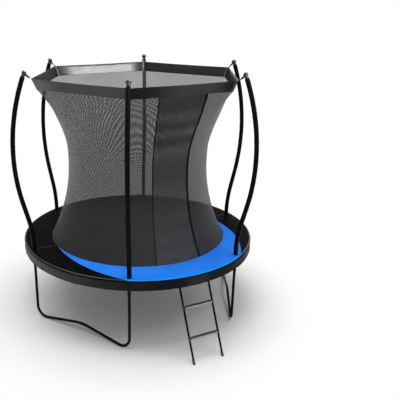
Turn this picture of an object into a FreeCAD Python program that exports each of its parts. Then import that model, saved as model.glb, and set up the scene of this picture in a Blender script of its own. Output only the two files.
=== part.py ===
import FreeCAD, Part
import math
import os

from FreeCAD import Vector

# Round trampoline, millimetres and degrees. Origin on the floor under the centre of the mat, +Z up.
# Azimuths are counted from +X towards +Y.

# Layout
poles = 6
first_pole = -75.0
bay = 360.0 / poles
pole_azimuths = [first_pole + bay * index for index in range(poles)]
door_azimuth = first_pole + bay / 2
door_half = 15.0
zip_azimuth = door_azimuth + door_half
flap_azimuth = door_azimuth - door_half
leg_azimuths = [door_azimuth + bay * (1 + 2 * index) for index in range(poles // 2)]

# Fits
slip = 0.3
seat = 0.3
screw_play = 0.2
slider_play = 0.5
cutter_over = 5.0

# Ring of tubes and its sockets
ring_radius = 1204.0
ring_height = 746.0
ring_tube_d = 32.0
ring_tube_wall = 1.5
socket_wall = 3.7
socket_reach = 64.0
socket_core = 20.0
post_wall = 2.7
post_drop = 146.0

# Legs
leg_tube_d = 28.0
leg_tube_wall = 1.2
leg_joint_height = 330.0
leg_spigot = 60.0
leg_corner_radius = 110.0
leg_rise = 10.4
leg_hump_radius = 500.0

# Poles
pole_wall = 1.5
pole_drop = 128.0
pole_bend_rise = 74.0
pole_flare_radius = 1250.0
pole_flare = 14.4
pole_straight = 174.0
pole_spigot = 70.0
pole_bow_radius = 2000.0
pole_lean = 22.0
pole_tip = 36.0
sleeve_d = 46.0

# Caps on the poles
cap_collar_length = 30.0
cap_collar_d = 34.0
cap_disc_d = 56.0
cap_disc_height = 5.0
cap_knob_d = 40.0
cap_knob_height = 18.0
cap_knob_round = 11.0
cap_plug = 25.0

# Safety pad and its skirt
pad_lap = 33.0
pad_overhang = 54.0
pad_height = 18.0
pad_roll = 12.0
pad_lip = 5.0
pad_seam = 0.6
skirt_height = 92.0
skirt_cloth = 2.0
skirt_inset = 0.5

# Mat, springs and their wire rings
spring_room = 214.0
mat_rise = 6.0
mat_cloth = 2.0
webbing_lap = 28.0
webbing_fold = 13.0
webbing_cloth = 1.8
springs_per_bay = 8
spring_d = 18.0
spring_wire = 3.2
spring_reach = 18.0
spring_setback = 32.0
spring_eye = 14.0
spring_entry = 50.0
spring_hole_d = 5.4
vee_wire = 4.0
vee_half_width = 13.0
vee_bar_reach = 7.0
vee_length = 25.0

# Net
net_cloth = 1.6
hem_height = 33.0
waist_inset = 216.0
waist_rise = 835.0
net_curve_radius = 1750.0
flare_rise = 180.0
net_flare = 138.0
net_flare_power = 1.5
corner_rise = 230.0
net_corner_power = 2.9
net_levels = 21
net_edge_points = 7
net_gap = 0.8
hem_cloth = 2.5
band_rise = 798.0
band_height = 106.0
band_setback = 75.0
band_taper = 50.0
band_cloth = 2.5
strap_width = 20.0
strap_cloth = 1.6
strap_loop_height = 18.0
zip_width = 26.0
zip_cloth = 1.5
slider_rise = 115.0
slider_size = (6.0, 12.0, 16.0)
slider_tab = (2.0, 7.0, 30.0)

# Ladder
ladder_lean = 24.5
ladder_half_width = 160.0
rail_d = 20.0
rail_wall = 1.2
rail_top_gap = 26.0
hook_width = 14.0
hook_plate = 2.5
hook_step = 8.0
hook_tail = 66.0
hook_wrap = 195.0
hook_bolt_edge = 12.0
step_heights = (220.0, 490.0)
step_depth = 45.0
step_thickness = 14.0
step_wall = 1.5
step_nose = 4.5
step_round = 5.6
clip_wall = 3.5
clip_height = 30.0
clip_lug = 20.0
foot_wall = 3.0
foot_length = 42.0
foot_sole = 5.0

# Fasteners
bolt_d = 6.0
bolt_thread_past = 1.0
pole_bolt_rise = 40.0
screw_d = 4.8
screw_length = 9.0
head_height = 3.5
head_ratio = 1.8

# Sizes that follow from the ones above
axis_z = Vector(0, 0, 1)
socket_bore = ring_tube_d + 2 * slip
socket_d = socket_bore + 2 * socket_wall
post_bore = leg_tube_d + 2 * slip
post_d = post_bore + 2 * post_wall
leg_bore = leg_tube_d - 2 * leg_tube_wall
pole_d = leg_bore - 2 * slip
sleeve_bore = pole_d + 2 * slip
mat_radius = ring_radius - spring_room
mat_height = ring_height + mat_rise
webbing_inner = mat_radius - webbing_lap
webbing_outer = mat_radius + webbing_fold
vee_bar_radius = mat_radius + vee_bar_reach
vee_tip_radius = vee_bar_radius + vee_length
spring_coil_start = vee_tip_radius + spring_reach
spring_coil_end = ring_radius - spring_setback
pad_inner_radius = mat_radius - pad_lap
pad_outer_radius = ring_radius + pad_overhang
pad_bottom = ring_height + socket_d / 2 + seat
pad_top = pad_bottom + pad_height
post_bottom = ring_height - post_drop
post_top = pad_top - seat
pole_bottom = ring_height - pole_drop
pole_bend_height = ring_height + pole_bend_rise
net_bottom = mat_height + hem_height
net_waist_radius = pad_inner_radius - waist_inset
net_waist_height = net_bottom + waist_rise
net_flare_start = net_waist_height + flare_rise
net_corner_start = net_waist_height + corner_rise
band_bottom = net_waist_height + band_rise
band_top_radius = ring_radius - band_setback
band_bottom_radius = band_top_radius - band_taper
slider_height = net_bottom + slider_rise
skirt_radius = pad_outer_radius - skirt_inset - skirt_cloth / 2
spring_coil_radius = (spring_d - spring_wire) / 2
spring_pitch = bay / springs_per_bay
hook_bore_radius = (ring_tube_d / 2 / math.cos(math.asin(ladder_half_width / ring_radius))
                    + hook_width / 2 * ladder_half_width / ring_radius + slip)
hinge_radius = math.sqrt(ring_radius ** 2 - ladder_half_width ** 2)
pole_bolt_height = post_bottom + pole_bolt_rise
leg_screw_height = leg_joint_height + leg_spigot / 2
ring_screw_angle = math.degrees((socket_core + socket_reach) / 2 / ring_radius)
spring_count = poles * springs_per_bay
all_spring_azimuths = [pole_azimuths[0] + spring_pitch * (index + 0.5) for index in range(spring_count)]
zip_middle = net_cloth / 2 + net_gap + zip_cloth / 2
zip_face = zip_middle + zip_cloth / 2
zip_half = math.degrees(zip_width / 2 / net_waist_radius)

os.makedirs("parts", exist_ok=True)


def write(name, shapes):
    """Write one node, given as a solid or as a list of separate solids."""
    shape = shapes if hasattr(shapes, "ShapeType") else Part.makeCompound(shapes)
    shape.exportStep("parts/%s.step" % name)


def turned(shape, azimuth):
    """A copy of a shape, turned about the trampoline's axis."""
    copy = shape.copy()
    copy.rotate(Vector(), axis_z, azimuth)
    return copy


def direction(heading):
    """Unit vector in the XZ plane: 0 is up and 90 is along +X."""
    angle = math.radians(heading)
    return Vector(math.sin(angle), 0, math.cos(angle))


def run(length):
    return "run", length, 0.0


def bend(radius, degrees):
    return "bend", radius, degrees


def bent_path(start, heading, steps):
    """Edges of a path of runs and bends in the XZ plane, with its last point and heading."""
    edges = []
    point = start
    for kind, size, degrees in steps:
        if kind == "run":
            end = point + direction(heading) * size
            edges.append(Part.makeLine(point, end))
        else:
            side = math.copysign(90, degrees)
            centre = point + direction(heading + side) * size
            middle = centre + direction(heading - side + degrees / 2) * size
            end = centre + direction(heading - side + degrees) * size
            edges.append(Part.Arc(point, middle, end).toShape())
            heading += degrees
        point = end
    return edges, point, heading


def bar(edges, diameter):
    """Round solid bar along a path."""
    start = edges[0].FirstParameter
    ring = Part.Circle(edges[0].valueAt(start), edges[0].tangentAt(start), diameter / 2)
    return Part.Wire(edges).makePipeShell([Part.Wire(ring.toShape())], True, False)


def tube(edges, outer_d, inner_d):
    return bar(edges, outer_d).cut(bar(edges, inner_d))


def rod(start, end, diameter):
    span = end - start
    return Part.makeCylinder(diameter / 2, span.Length, start, span)


def ring_bar(diameter, start, sweep):
    """Round bar bent to the ring's radius, from azimuth start through sweep degrees."""
    circle = Part.Circle(Vector(ring_radius, 0, ring_height), Vector(0, 1, 0), diameter / 2)
    section = Part.Face(Part.Wire(circle.toShape()))
    return turned(section.revolve(Vector(), axis_z, sweep), start)


def on_ring(distance):
    """Angle in degrees that a distance along the ring spans."""
    return math.degrees(distance / ring_radius)


def hoop(inner, outer, bottom, top):
    """Upright ring of rectangular section about the trampoline's axis."""
    ring = Part.makeCylinder(outer, top - bottom, Vector(0, 0, bottom))
    return ring.cut(Part.makeCylinder(inner, top - bottom, Vector(0, 0, bottom)))


def strip(outline, width):
    """Flat strip that follows an outline in the XZ plane, centred on that plane."""
    wire = Part.makePolygon([Vector(x, -width / 2, z) for x, z in outline + outline[:1]])
    return Part.Face(wire).extrude(Vector(0, width, 0))


def hex_prism(across, height, base, along):
    """Hexagonal head or nut."""
    corners = []
    normal = Vector(along)
    normal.normalize()
    skew = Vector(normal.y, normal.z, normal.x) + Vector(0, 1, 0)
    side = normal.cross(skew).normalize()
    other = normal.cross(side)
    for corner in range(7):
        angle = math.radians(60 * corner)
        spoke = side * math.cos(angle) + other * math.sin(angle)
        corners.append(base + spoke * (across / math.sqrt(3)))
    return Part.Face(Part.makePolygon(corners)).extrude(normal * height)


def bolt_and_nut(first, second, diameter):
    """Hex bolt with its head at first and its nut at second."""
    along = (second - first).normalize()
    across = diameter * head_ratio
    head = hex_prism(across, head_height, first - along * head_height, along)
    tip = second + along * (head_height + bolt_thread_past)
    nut = hex_prism(across, head_height, second, along).cut(rod(first, tip, diameter))
    return [head.fuse(rod(first, tip, diameter)).removeSplitter(), nut]


def screw(seat_point, along):
    """Pan-headed screw that goes in from its seat."""
    into = Vector(along)
    into.normalize()
    head = rod(seat_point - into * head_height, seat_point, screw_d * head_ratio)
    return head.fuse(rod(seat_point, seat_point + into * screw_length, screw_d)).removeSplitter()


# Fastener places, shared by the holes and the fasteners

def pole_bolt_ends():
    """Seats of a pole bolt's head and nut, for a pole on +X."""
    outside = Vector(ring_radius + post_d / 2, 0, pole_bolt_height)
    inside = Vector(ring_radius - post_d / 2, 0, pole_bolt_height)
    return outside, inside


def pole_bolt_hole():
    return Part.makeCylinder(bolt_d / 2 + screw_play, 2 * post_d,
                             Vector(ring_radius - post_d, 0, pole_bolt_height), Vector(1, 0, 0))


def leg_screw_seat():
    return Vector(ring_radius + leg_tube_d / 2, 0, leg_screw_height)


def leg_screw_hole():
    over = Vector(cutter_over, 0, 0)
    deep = Vector(screw_length, 0, 0) + over
    return rod(leg_screw_seat() + over, leg_screw_seat() - deep, screw_d + 2 * screw_play)


def ring_screw_seat():
    return Vector(ring_radius, 0, ring_height - socket_d / 2)


def ring_screw_hole():
    over = axis_z * cutter_over
    deep = axis_z * screw_length + over
    return rod(ring_screw_seat() - over, ring_screw_seat() + deep, screw_d + 2 * screw_play)


# Ring, sockets and legs

def spring_azimuths(bay_index):
    """Azimuths of the springs between one pole and the next."""
    first = bay_index * springs_per_bay
    return all_spring_azimuths[first:first + springs_per_bay]


def spring_hole():
    """Hole in the ring's wall where the hook of a spring on +X goes in, square to the wall."""
    hook_centre = Vector(spring_coil_end + spring_eye, 0, mat_height)
    crossing = hook_centre + direction(spring_entry) * spring_coil_radius
    inward = Vector(ring_radius, 0, ring_height) - crossing
    inward.normalize()
    return rod(crossing - inward * spring_wire * 2, crossing + inward * spring_wire * 2, spring_hole_d)


def ring_tube(index):
    gap = on_ring(socket_core)
    start = pole_azimuths[index] + gap
    sweep = bay - 2 * gap
    shape = ring_bar(ring_tube_d, start, sweep)
    shape = shape.cut(ring_bar(ring_tube_d - 2 * ring_tube_wall, start, sweep))
    holes = [turned(spring_hole(), azimuth) for azimuth in spring_azimuths(index)]
    holes.append(turned(ring_screw_hole(), pole_azimuths[index] + ring_screw_angle))
    holes.append(turned(ring_screw_hole(), pole_azimuths[index] + bay - ring_screw_angle))
    return shape.cut(holes)


def ring_socket(azimuth):
    """Cross-shaped joint: ring tubes go in from both sides, a leg from below, a pole from above."""
    reach = on_ring(socket_reach)
    core = on_ring(socket_core - slip)
    foot = Vector(ring_radius, 0, post_bottom)
    shape = ring_bar(socket_d, -reach, 2 * reach)
    shape = shape.fuse(Part.makeCylinder(post_d / 2, post_top - post_bottom, foot))
    bores = [ring_bar(socket_bore, core, reach), ring_bar(socket_bore, -core - reach, reach),
             Part.makeCylinder(post_bore / 2, post_top - post_bottom, foot), pole_bolt_hole()]
    for side in (-1, 1):
        bores.append(turned(ring_screw_hole(), side * ring_screw_angle))
    return turned(shape.cut(bores), azimuth)


def leg_upright():
    """Straight leg tube on +X. The pole stands in its upper end."""
    foot = Vector(ring_radius, 0, leg_joint_height)
    length = post_top - leg_joint_height
    shape = Part.makeCylinder(leg_tube_d / 2, length, foot)
    return shape.cut([Part.makeCylinder(leg_bore / 2, length, foot), pole_bolt_hole(), leg_screw_hole()])


def leg_base(azimuth):
    """Bent tube between two neighbouring legs, standing on its two rounded corners."""
    half_span = ring_radius * math.sin(math.radians(bay / 2))
    plane_radius = ring_radius * math.cos(math.radians(bay / 2))
    corner_height = leg_corner_radius + leg_tube_d / 2
    rise = math.radians(leg_rise)
    across = half_span - leg_corner_radius - (leg_corner_radius + leg_hump_radius) * math.sin(rise)
    drop = run(leg_joint_height - corner_height)
    slope = run(across / math.cos(rise))
    corner = bend(leg_corner_radius, -90 - leg_rise)
    steps = [drop, corner, slope, bend(leg_hump_radius, 2 * leg_rise), slope, corner, drop]
    shape = tube(bent_path(Vector(-half_span, 0, leg_joint_height), 180, steps)[0], leg_tube_d, leg_bore)
    spigot_d = leg_bore - 2 * slip
    for side in (-1, 1):
        neck = Vector(side * half_span, 0, leg_joint_height)
        root = neck - axis_z * leg_tube_d
        top = neck + axis_z * leg_spigot
        shape = shape.fuse([rod(root, neck, leg_bore), rod(root, top, spigot_d)])
        shape = shape.cut(rod(root, top, spigot_d - 2 * leg_tube_wall))
    shape.rotate(Vector(), axis_z, azimuth + 90)
    angle = math.radians(azimuth)
    shape.translate(Vector(math.cos(angle), math.sin(angle), 0) * plane_radius)
    holes = [turned(leg_screw_hole(), azimuth + side * bay / 2) for side in (-1, 1)]
    return shape.cut(holes)


# Poles

def pole_points():
    """Paths of the lower tube and the upper tube of a pole on +X, and the pole's end."""
    start = Vector(ring_radius, 0, pole_bottom)
    below = [run(pole_bend_height - pole_bottom), bend(pole_flare_radius, pole_flare), run(pole_straight / 2)]
    lower, joint, heading = bent_path(start, 0, below)
    above = [run(pole_straight / 2), bend(pole_bow_radius, -pole_flare - pole_lean), run(pole_tip)]
    upper, end, tilt = bent_path(joint, heading, above)
    return lower, upper, joint, heading, end, tilt


lower_path, upper_path, pole_joint, joint_heading, pole_end, pole_tilt = pole_points()
pole_up = direction(pole_tilt)


def pole_lower():
    return tube(lower_path, pole_d, pole_d - 2 * pole_wall).cut(pole_bolt_hole())


def pole_upper():
    """Upper tube, with a narrowed end that goes into the lower one."""
    spigot_d = pole_d - 2 * pole_wall - 2 * slip
    down = direction(joint_heading)
    top = pole_joint + down * pole_wall
    shape = tube(upper_path, pole_d, pole_d - 2 * pole_wall)
    spigot = rod(pole_joint - down * pole_spigot, top, spigot_d)
    collar = rod(pole_joint, top, pole_d - pole_wall)
    bore = rod(pole_joint - down * pole_spigot, top, spigot_d - 2 * pole_wall)
    return shape.fuse([spigot, collar]).cut(bore)


def pole_sleeve():
    """Foam sleeve over the whole pole, from the pad to the cap's collar."""
    start = Vector(ring_radius, 0, pad_top + seat)
    steps = [run(pole_bend_height - pad_top - seat), bend(pole_flare_radius, pole_flare), run(pole_straight),
             bend(pole_bow_radius, -pole_flare - pole_lean), run(pole_tip - cap_collar_length - seat)]
    return tube(bent_path(start, 0, steps)[0], sleeve_d, sleeve_bore)


def pole_cap():
    """Cap pushed onto the pole's end: a collar, a wide disc and a domed knob, with a plug in the tube."""
    low = pole_end - pole_up * cap_collar_length
    disc_top = pole_end + pole_up * cap_disc_height
    shape = rod(low, pole_end, cap_collar_d).cut(rod(low, pole_end, pole_d + 2 * slip))
    plug_d = pole_d - 2 * pole_wall - 2 * slip
    disc = rod(pole_end, disc_top, cap_disc_d)
    knob_top = disc_top + pole_up * cap_knob_height
    knob = rod(disc_top, knob_top, cap_knob_d)
    rim = [edge for edge in knob.Edges if edge.CenterOfMass.isEqual(knob_top, 0.1)]
    knob = knob.makeFillet(cap_knob_round, rim)
    plug = rod(pole_end - pole_up * cap_plug, pole_end + pole_up * (cap_disc_height / 2), plug_d)
    return shape.fuse([disc, knob, plug])


# Pad and skirt

def pad_segment(start):
    """One foam sector with its cover. The pole's socket passes at each end, on the seam."""
    edge = math.degrees(pad_seam / 2 / ring_radius)
    outline = [Part.makeLine(Vector(pad_inner_radius, 0, pad_bottom), Vector(pad_outer_radius, 0, pad_bottom))]
    steps = [run(pad_height - pad_roll), bend(pad_roll, -90),
             run(pad_outer_radius - pad_inner_radius - pad_roll - pad_lip), bend(pad_lip, -90),
             run(pad_height - pad_lip)]
    outline += bent_path(Vector(pad_outer_radius, 0, pad_bottom), 0, steps)[0]
    section = Part.Face(Part.Wire(outline))
    shape = turned(section.revolve(Vector(), axis_z, bay - 2 * edge), start + edge)
    hole = Part.makeCylinder(post_d / 2 + seat, 3 * pad_height, Vector(ring_radius, 0, pad_bottom - pad_height))
    return shape.cut([turned(hole, start), turned(hole, start + bay)])


def pad_skirt():
    top = pad_bottom - seat
    return hoop(skirt_radius - skirt_cloth / 2, skirt_radius + skirt_cloth / 2, top - skirt_height, top)


# Mat and springs

def vee_rods(diameter):
    """Bar and two slanted sides of a wire ring on +X."""
    first = Vector(vee_bar_radius, -vee_half_width, mat_height)
    second = Vector(vee_bar_radius, vee_half_width, mat_height)
    tip = Vector(vee_tip_radius, 0, mat_height)
    shape = rod(first, second, diameter)
    shape = shape.fuse([rod(second, tip, diameter), rod(tip, first, diameter)])
    return shape.fuse([Part.makeSphere(diameter / 2, corner) for corner in (first, second, tip)])


def mat_webbing():
    """Webbing folded over the mat's edge, with a tunnel for each wire ring."""
    half = mat_cloth / 2 + seat + webbing_cloth
    shape = hoop(webbing_inner, webbing_outer, mat_height - half, mat_height + half)
    slot = mat_cloth / 2 + seat
    shape = shape.cut(hoop(webbing_inner, mat_radius + seat, mat_height - slot, mat_height + slot))
    tunnel = vee_rods(vee_wire + 2 * seat)
    return shape.cut([turned(tunnel, azimuth) for azimuth in all_spring_azimuths])


def spring():
    """Closed coil as a plain tube, with a wire hook at each end."""
    top = mat_height + spring_coil_radius
    coil = rod(Vector(spring_coil_start, 0, mat_height), Vector(spring_coil_end, 0, mat_height), spring_d)
    coil = coil.cut(rod(Vector(spring_coil_start, 0, mat_height), Vector(spring_coil_end, 0, mat_height),
                        spring_d - 2 * spring_wire))
    bite = spring_wire
    outer = bent_path(Vector(spring_coil_end - bite, 0, top), 90,
                      [run(spring_eye + bite), bend(spring_coil_radius, 120)])[0]
    half_angle = math.atan2(vee_half_width, vee_tip_radius - vee_bar_radius)
    nest = (vee_wire / 2 + spring_wire / 2 + seat) / math.sin(half_angle)
    hook_centre = vee_tip_radius - nest + spring_coil_radius
    inner = bent_path(Vector(spring_coil_start + bite, 0, top), -90,
                      [run(spring_coil_start + bite - hook_centre), bend(spring_coil_radius, -200)])[0]
    return coil.fuse([bar(outer, spring_wire), bar(inner, spring_wire)])


# Net, band and straps

def net_radius(azimuth, height):
    """Radius of the net's middle surface: a waisted arc that opens into a hexagon at the top."""
    below = net_waist_height - height
    radius = net_waist_radius + net_curve_radius - math.sqrt(net_curve_radius ** 2 - below ** 2)
    flare_span = band_bottom - net_flare_start
    radius += net_flare * (max(0.0, height - net_flare_start) / flare_span) ** net_flare_power
    corner = max(0.0, height - net_corner_start) / (band_bottom - net_corner_start)
    from_middle = (azimuth - door_azimuth + bay / 2) % bay - bay / 2
    side = math.cos(math.radians(bay / 2)) / math.cos(math.radians(from_middle))
    return radius * (1 - corner ** net_corner_power * (1 - side))


def net_point(azimuth, height, offset):
    angle = math.radians(azimuth)
    radius = net_radius(azimuth, height) + offset
    return Vector(radius * math.cos(angle), radius * math.sin(angle), height)


def net_heights():
    """Heights at which every panel of the net is drawn, so that neighbours share one curve."""
    top = band_bottom - seat
    return [net_bottom + (top - net_bottom) * level / (net_levels - 1) for level in range(net_levels)]


def net_section(start, end, height, inner, outer):
    """Closed outline of a thin strip of net at one height."""
    count = net_edge_points
    azimuths = [start + (end - start) * index / (count - 1) for index in range(count)]
    rims = []
    for offset in (inner, outer):
        curve = Part.BSplineCurve()
        curve.interpolate([net_point(azimuth, height, offset) for azimuth in azimuths])
        rims.append(curve.toShape())
    sides = [Part.makeLine(net_point(azimuth, height, inner), net_point(azimuth, height, outer))
             for azimuth in (start, end)]
    return Part.Wire(Part.__sortEdges__([rims[0], sides[1], rims[1], sides[0]]))


def net_panel(start, end, offset=0.0, cloth=net_cloth):
    """Curved cloth panel between two azimuths, offset outwards from the net's middle surface."""
    sections = [net_section(start, end, height, offset - cloth / 2, offset + cloth / 2)
                for height in net_heights()]
    return Part.makeLoft(sections, True, False)


def hexagon(radius, height):
    corners = []
    for azimuth in pole_azimuths + pole_azimuths[:1]:
        angle = math.radians(azimuth)
        corners.append(Vector(radius * math.cos(angle), radius * math.sin(angle), height))
    return Part.makePolygon(corners)


def net_band():
    """Straight-sided band of cloth round the top of the net."""
    wall = band_cloth / math.cos(math.radians(bay / 2))
    top = band_bottom + band_height
    outer = Part.makeLoft([hexagon(band_bottom_radius, band_bottom), hexagon(band_top_radius, top)], True, True)
    inner = Part.makeLoft([hexagon(band_bottom_radius - wall, band_bottom),
                           hexagon(band_top_radius - wall, top)], True, True)
    return outer.cut(inner)


def net_strap():
    """Webbing looped round a cap's collar, over the band's corner and down inside it."""
    half = strap_cloth / 2
    half_corner = math.radians(bay / 2)
    relief = strap_width / 2 * math.tan(half_corner) + band_cloth / math.cos(half_corner)
    inset = relief + seat + half
    slope = (band_top_radius - band_bottom_radius) / band_height
    top = band_bottom + band_height
    loop_low = pole_end - pole_up * (seat + strap_loop_height)
    loop_high = pole_end - pole_up * seat
    loop_bore = cap_collar_d + 2 * slip
    loop = rod(loop_low, loop_high, loop_bore + 2 * strap_cloth)
    inward = direction(pole_tilt - 90)
    anchor = (loop_low + loop_high) * 0.5 + inward * (loop_bore / 2 + half)
    bend_x = band_top_radius - inset
    bend_z = top + seat + half
    low_x = band_bottom_radius - inset
    fall = (bend_z - band_bottom) * slope
    run_slope = math.atan2(anchor.z - bend_z, anchor.x - bend_x)
    lift = half / math.cos(run_slope)
    outline = [(anchor.x, anchor.z + lift), (bend_x - half, bend_z + lift), (bend_x - half - fall, band_bottom),
               (low_x + half, band_bottom), (bend_x + half, bend_z), (anchor.x, anchor.z - lift)]
    tail = strip(outline, strap_width)
    over = pole_up * cutter_over
    return loop.fuse(tail).cut(rod(loop_low - over, loop_high + over, loop_bore))


def zip_slider():
    """Slider with its pull, on +X at the height where it rests."""
    depth, width, height = slider_size
    tab_depth, tab_width, tab_length = slider_tab
    clearance = zip_face + slider_play
    body = Part.makeBox(depth, width, height, Vector(clearance, -width / 2, -height / 2))
    tab = Part.makeBox(tab_depth, tab_width, tab_length,
                       Vector(clearance + depth - tab_depth / 2, -tab_width / 2, height / 4 - tab_length))
    shape = body.fuse(tab).removeSplitter()
    below = net_waist_height - slider_height
    lean = math.degrees(math.asin(below / net_curve_radius))
    shape.rotate(Vector(), Vector(0, 1, 0), -lean)
    shape.translate(Vector(net_radius(zip_azimuth, slider_height), 0, slider_height))
    return turned(shape, zip_azimuth)


# Ladder, modelled on +X with its hinge line along Y

hinge = Vector(hinge_radius, 0, ring_height)
rail_down = direction(180 - ladder_lean)
rail_out = direction(90 - ladder_lean)
rail_length = (ring_height - foot_sole) / math.cos(math.radians(ladder_lean))


def along_rail(distance, across=0.0):
    """Point on a rail's line: distance down from the hinge line, across towards the outside."""
    return hinge + rail_down * distance + rail_out * across


def shifted(shape, side):
    """A copy moved sideways to the left rail (-1) or the right rail (1) and turned to the ladder's place."""
    copy = shape.copy()
    copy.translate(Vector(0, side * ladder_half_width, 0))
    return turned(copy, door_azimuth)


def rail_distance(height):
    return (ring_height - height) / math.cos(math.radians(ladder_lean))


hook_bolts = (rail_top_gap + hook_bolt_edge, hook_tail - hook_bolt_edge)
foot_end = rail_distance(0) + foot_wall + rail_d


def rail_holes():
    """Holes through a rail and hook for the hook's bolts."""
    return [rod(along_rail(distance, -rail_d), along_rail(distance, rail_d), bolt_d + 2 * screw_play)
            for distance in hook_bolts]


def ladder_rail():
    shape = rod(along_rail(rail_top_gap), along_rail(rail_length), rail_d)
    bore = rod(along_rail(rail_top_gap), along_rail(rail_length), rail_d - 2 * rail_wall)
    return shape.cut([bore] + rail_holes())


def ladder_hook():
    """Flat bar that lies on the rail, steps out and goes over the ring tube."""
    inner = hook_bore_radius
    outer = inner + hook_plate
    band = rod(hinge - Vector(0, hook_width / 2, 0), hinge + Vector(0, hook_width / 2, 0), 2 * outer)
    band = band.cut(rod(hinge - Vector(0, hook_width, 0), hinge + Vector(0, hook_width, 0), 2 * inner))
    open_from = 90 - ladder_lean
    mouth = [hinge]
    for share in (0.0, 0.25, 0.5, 0.75, 1.0):
        heading = open_from + share * (360 - hook_wrap)
        mouth.append(hinge + direction(heading) * 3 * outer)
    wedge = strip([(point.x, point.z) for point in mouth], 2 * hook_width)
    arch = band.cut(wedge)
    low = rail_d / 2 + seat
    knee = rail_top_gap - hook_step
    shift = hook_plate * math.tan(math.atan2(inner - low, hook_step) / 2)
    profile = [along_rail(0, inner), along_rail(knee, inner), along_rail(rail_top_gap, low),
               along_rail(hook_tail, low), along_rail(hook_tail, low + hook_plate),
               along_rail(rail_top_gap + shift, low + hook_plate), along_rail(knee + shift, outer),
               along_rail(0, outer)]
    tail = strip([(point.x, point.z) for point in profile], hook_width)
    return arch.fuse(tail).removeSplitter().cut(rail_holes())


def ladder_step(height):
    """Hollow tread between the rails, level when the ladder leans."""
    half = ladder_half_width - rail_d / 2 - slip - clip_wall - seat
    centre = along_rail(rail_distance(height))
    corner = Vector(centre.x - step_depth / 2, -half, height - step_thickness / 2)
    shape = Part.makeBox(step_depth, 2 * half, step_thickness, corner)
    shape = shape.makeFillet(step_round, [edge for edge in shape.Edges if abs(edge.tangentAt(0).y) > 0.9])
    bore = Part.makeBox(step_depth - 2 * step_nose, 2 * half, step_thickness - 2 * step_wall,
                        corner + Vector(step_nose, 0, step_wall))
    return turned(shape.cut(bore), door_azimuth)


def step_clip(height, side):
    """Plastic clip round a rail, with a lug that fills the tread's end."""
    distance = rail_distance(height)
    low = along_rail(distance + clip_height / 2)
    high = along_rail(distance - clip_height / 2)
    centre = along_rail(distance)
    outer_d = rail_d + 2 * slip + 2 * clip_wall
    width = step_depth - 2 * step_nose - 2 * seat
    thickness = step_thickness - 2 * step_wall - 2 * seat
    reach = outer_d / 2 + clip_lug
    start = -side * reach if side > 0 else 0
    lug = Part.makeBox(width, reach, thickness, Vector(centre.x - width / 2, start, height - thickness / 2))
    shape = rod(low, high, outer_d).fuse(lug)
    bore = rod(along_rail(distance + clip_height), along_rail(distance - clip_height), rail_d + 2 * slip)
    return shifted(shape.cut(bore), side)


def ladder_foot():
    """Rubber cap on a rail's end, cut level with the floor."""
    shape = rod(along_rail(rail_length - foot_length), along_rail(foot_end), rail_d + 2 * slip + 2 * foot_wall)
    bore = rod(along_rail(rail_length - 2 * foot_length), along_rail(rail_length), rail_d + 2 * slip)
    block = 4 * foot_length
    floor = Part.makeBox(block, block, block, Vector(along_rail(rail_length).x - block / 2, -block / 2, -block))
    return shape.cut([bore, floor])


def hook_bolt(distance):
    first = along_rail(distance, rail_d / 2 + seat + hook_plate)
    second = along_rail(distance, -rail_d / 2)
    return bolt_and_nut(first, second, bolt_d)


# Build every node

for index, azimuth in enumerate(pole_azimuths):
    number = index + 1
    write("ring_tube_%d" % number, ring_tube(index))
    write("ring_socket_%d" % number, ring_socket(azimuth))
    write("pole_lower_%d" % number, turned(pole_lower(), azimuth))
    write("pole_upper_%d" % number, turned(pole_upper(), azimuth))

for index, azimuth in enumerate(leg_azimuths):
    write("leg_base_%d" % (index + 1), leg_base(azimuth))


def round_poles(shape):
    """Copies of a shape at every pole."""
    return [turned(shape, azimuth) for azimuth in pole_azimuths]


write("leg_uprights", round_poles(leg_upright()))
write("pole_sleeves", round_poles(pole_sleeve()))
write("pole_caps", round_poles(pole_cap()))
write("net_straps", round_poles(net_strap()))

bolt, nut = bolt_and_nut(*pole_bolt_ends(), bolt_d)
write("pole_bolts", round_poles(bolt) + round_poles(nut))
leg_screw = screw(leg_screw_seat(), Vector(-1, 0, 0))
ring_screw = screw(ring_screw_seat(), axis_z)
ring_screws = [turned(ring_screw, side * ring_screw_angle) for side in (-1, 1)]
write("frame_screws", round_poles(leg_screw) + round_poles(ring_screws[0]) + round_poles(ring_screws[1]))

write("pad", [pad_segment(azimuth) for azimuth in pole_azimuths])
write("pad_skirt", pad_skirt())

write("mat", Part.makeCylinder(mat_radius, mat_cloth, Vector(0, 0, mat_height - mat_cloth / 2)))
write("mat_webbing", mat_webbing())
vee_ring = vee_rods(vee_wire)
write("vee_rings", [turned(vee_ring, azimuth) for azimuth in all_spring_azimuths])
one_spring = spring()
write("springs", [turned(one_spring, azimuth) for azimuth in all_spring_azimuths])

play = math.degrees(seat / 2 / net_waist_radius)
cuts = [pole_azimuths[0], zip_azimuth] + pole_azimuths[1:] + [pole_azimuths[0] + 360]
names = ["door", "door_edge", "right", "right_back", "left_back", "left", "left_front"]
for name, start, end in zip(names, cuts, cuts[1:]):
    write("net_panel_" + name, net_panel(start + play, end - play))
write("net_door_flap", net_panel(flap_azimuth + play, zip_azimuth - play, -net_cloth - net_gap))
write("zip_tape", net_panel(zip_azimuth - zip_half, zip_azimuth + zip_half, zip_middle, zip_cloth))
write("zip_slider", zip_slider())
hem_radius = net_radius(0, net_bottom)
write("net_hem", hoop(hem_radius - hem_cloth / 2, hem_radius + hem_cloth / 2,
                      mat_height + mat_cloth / 2 + seat, net_bottom - seat))
write("net_band", net_band())

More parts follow.
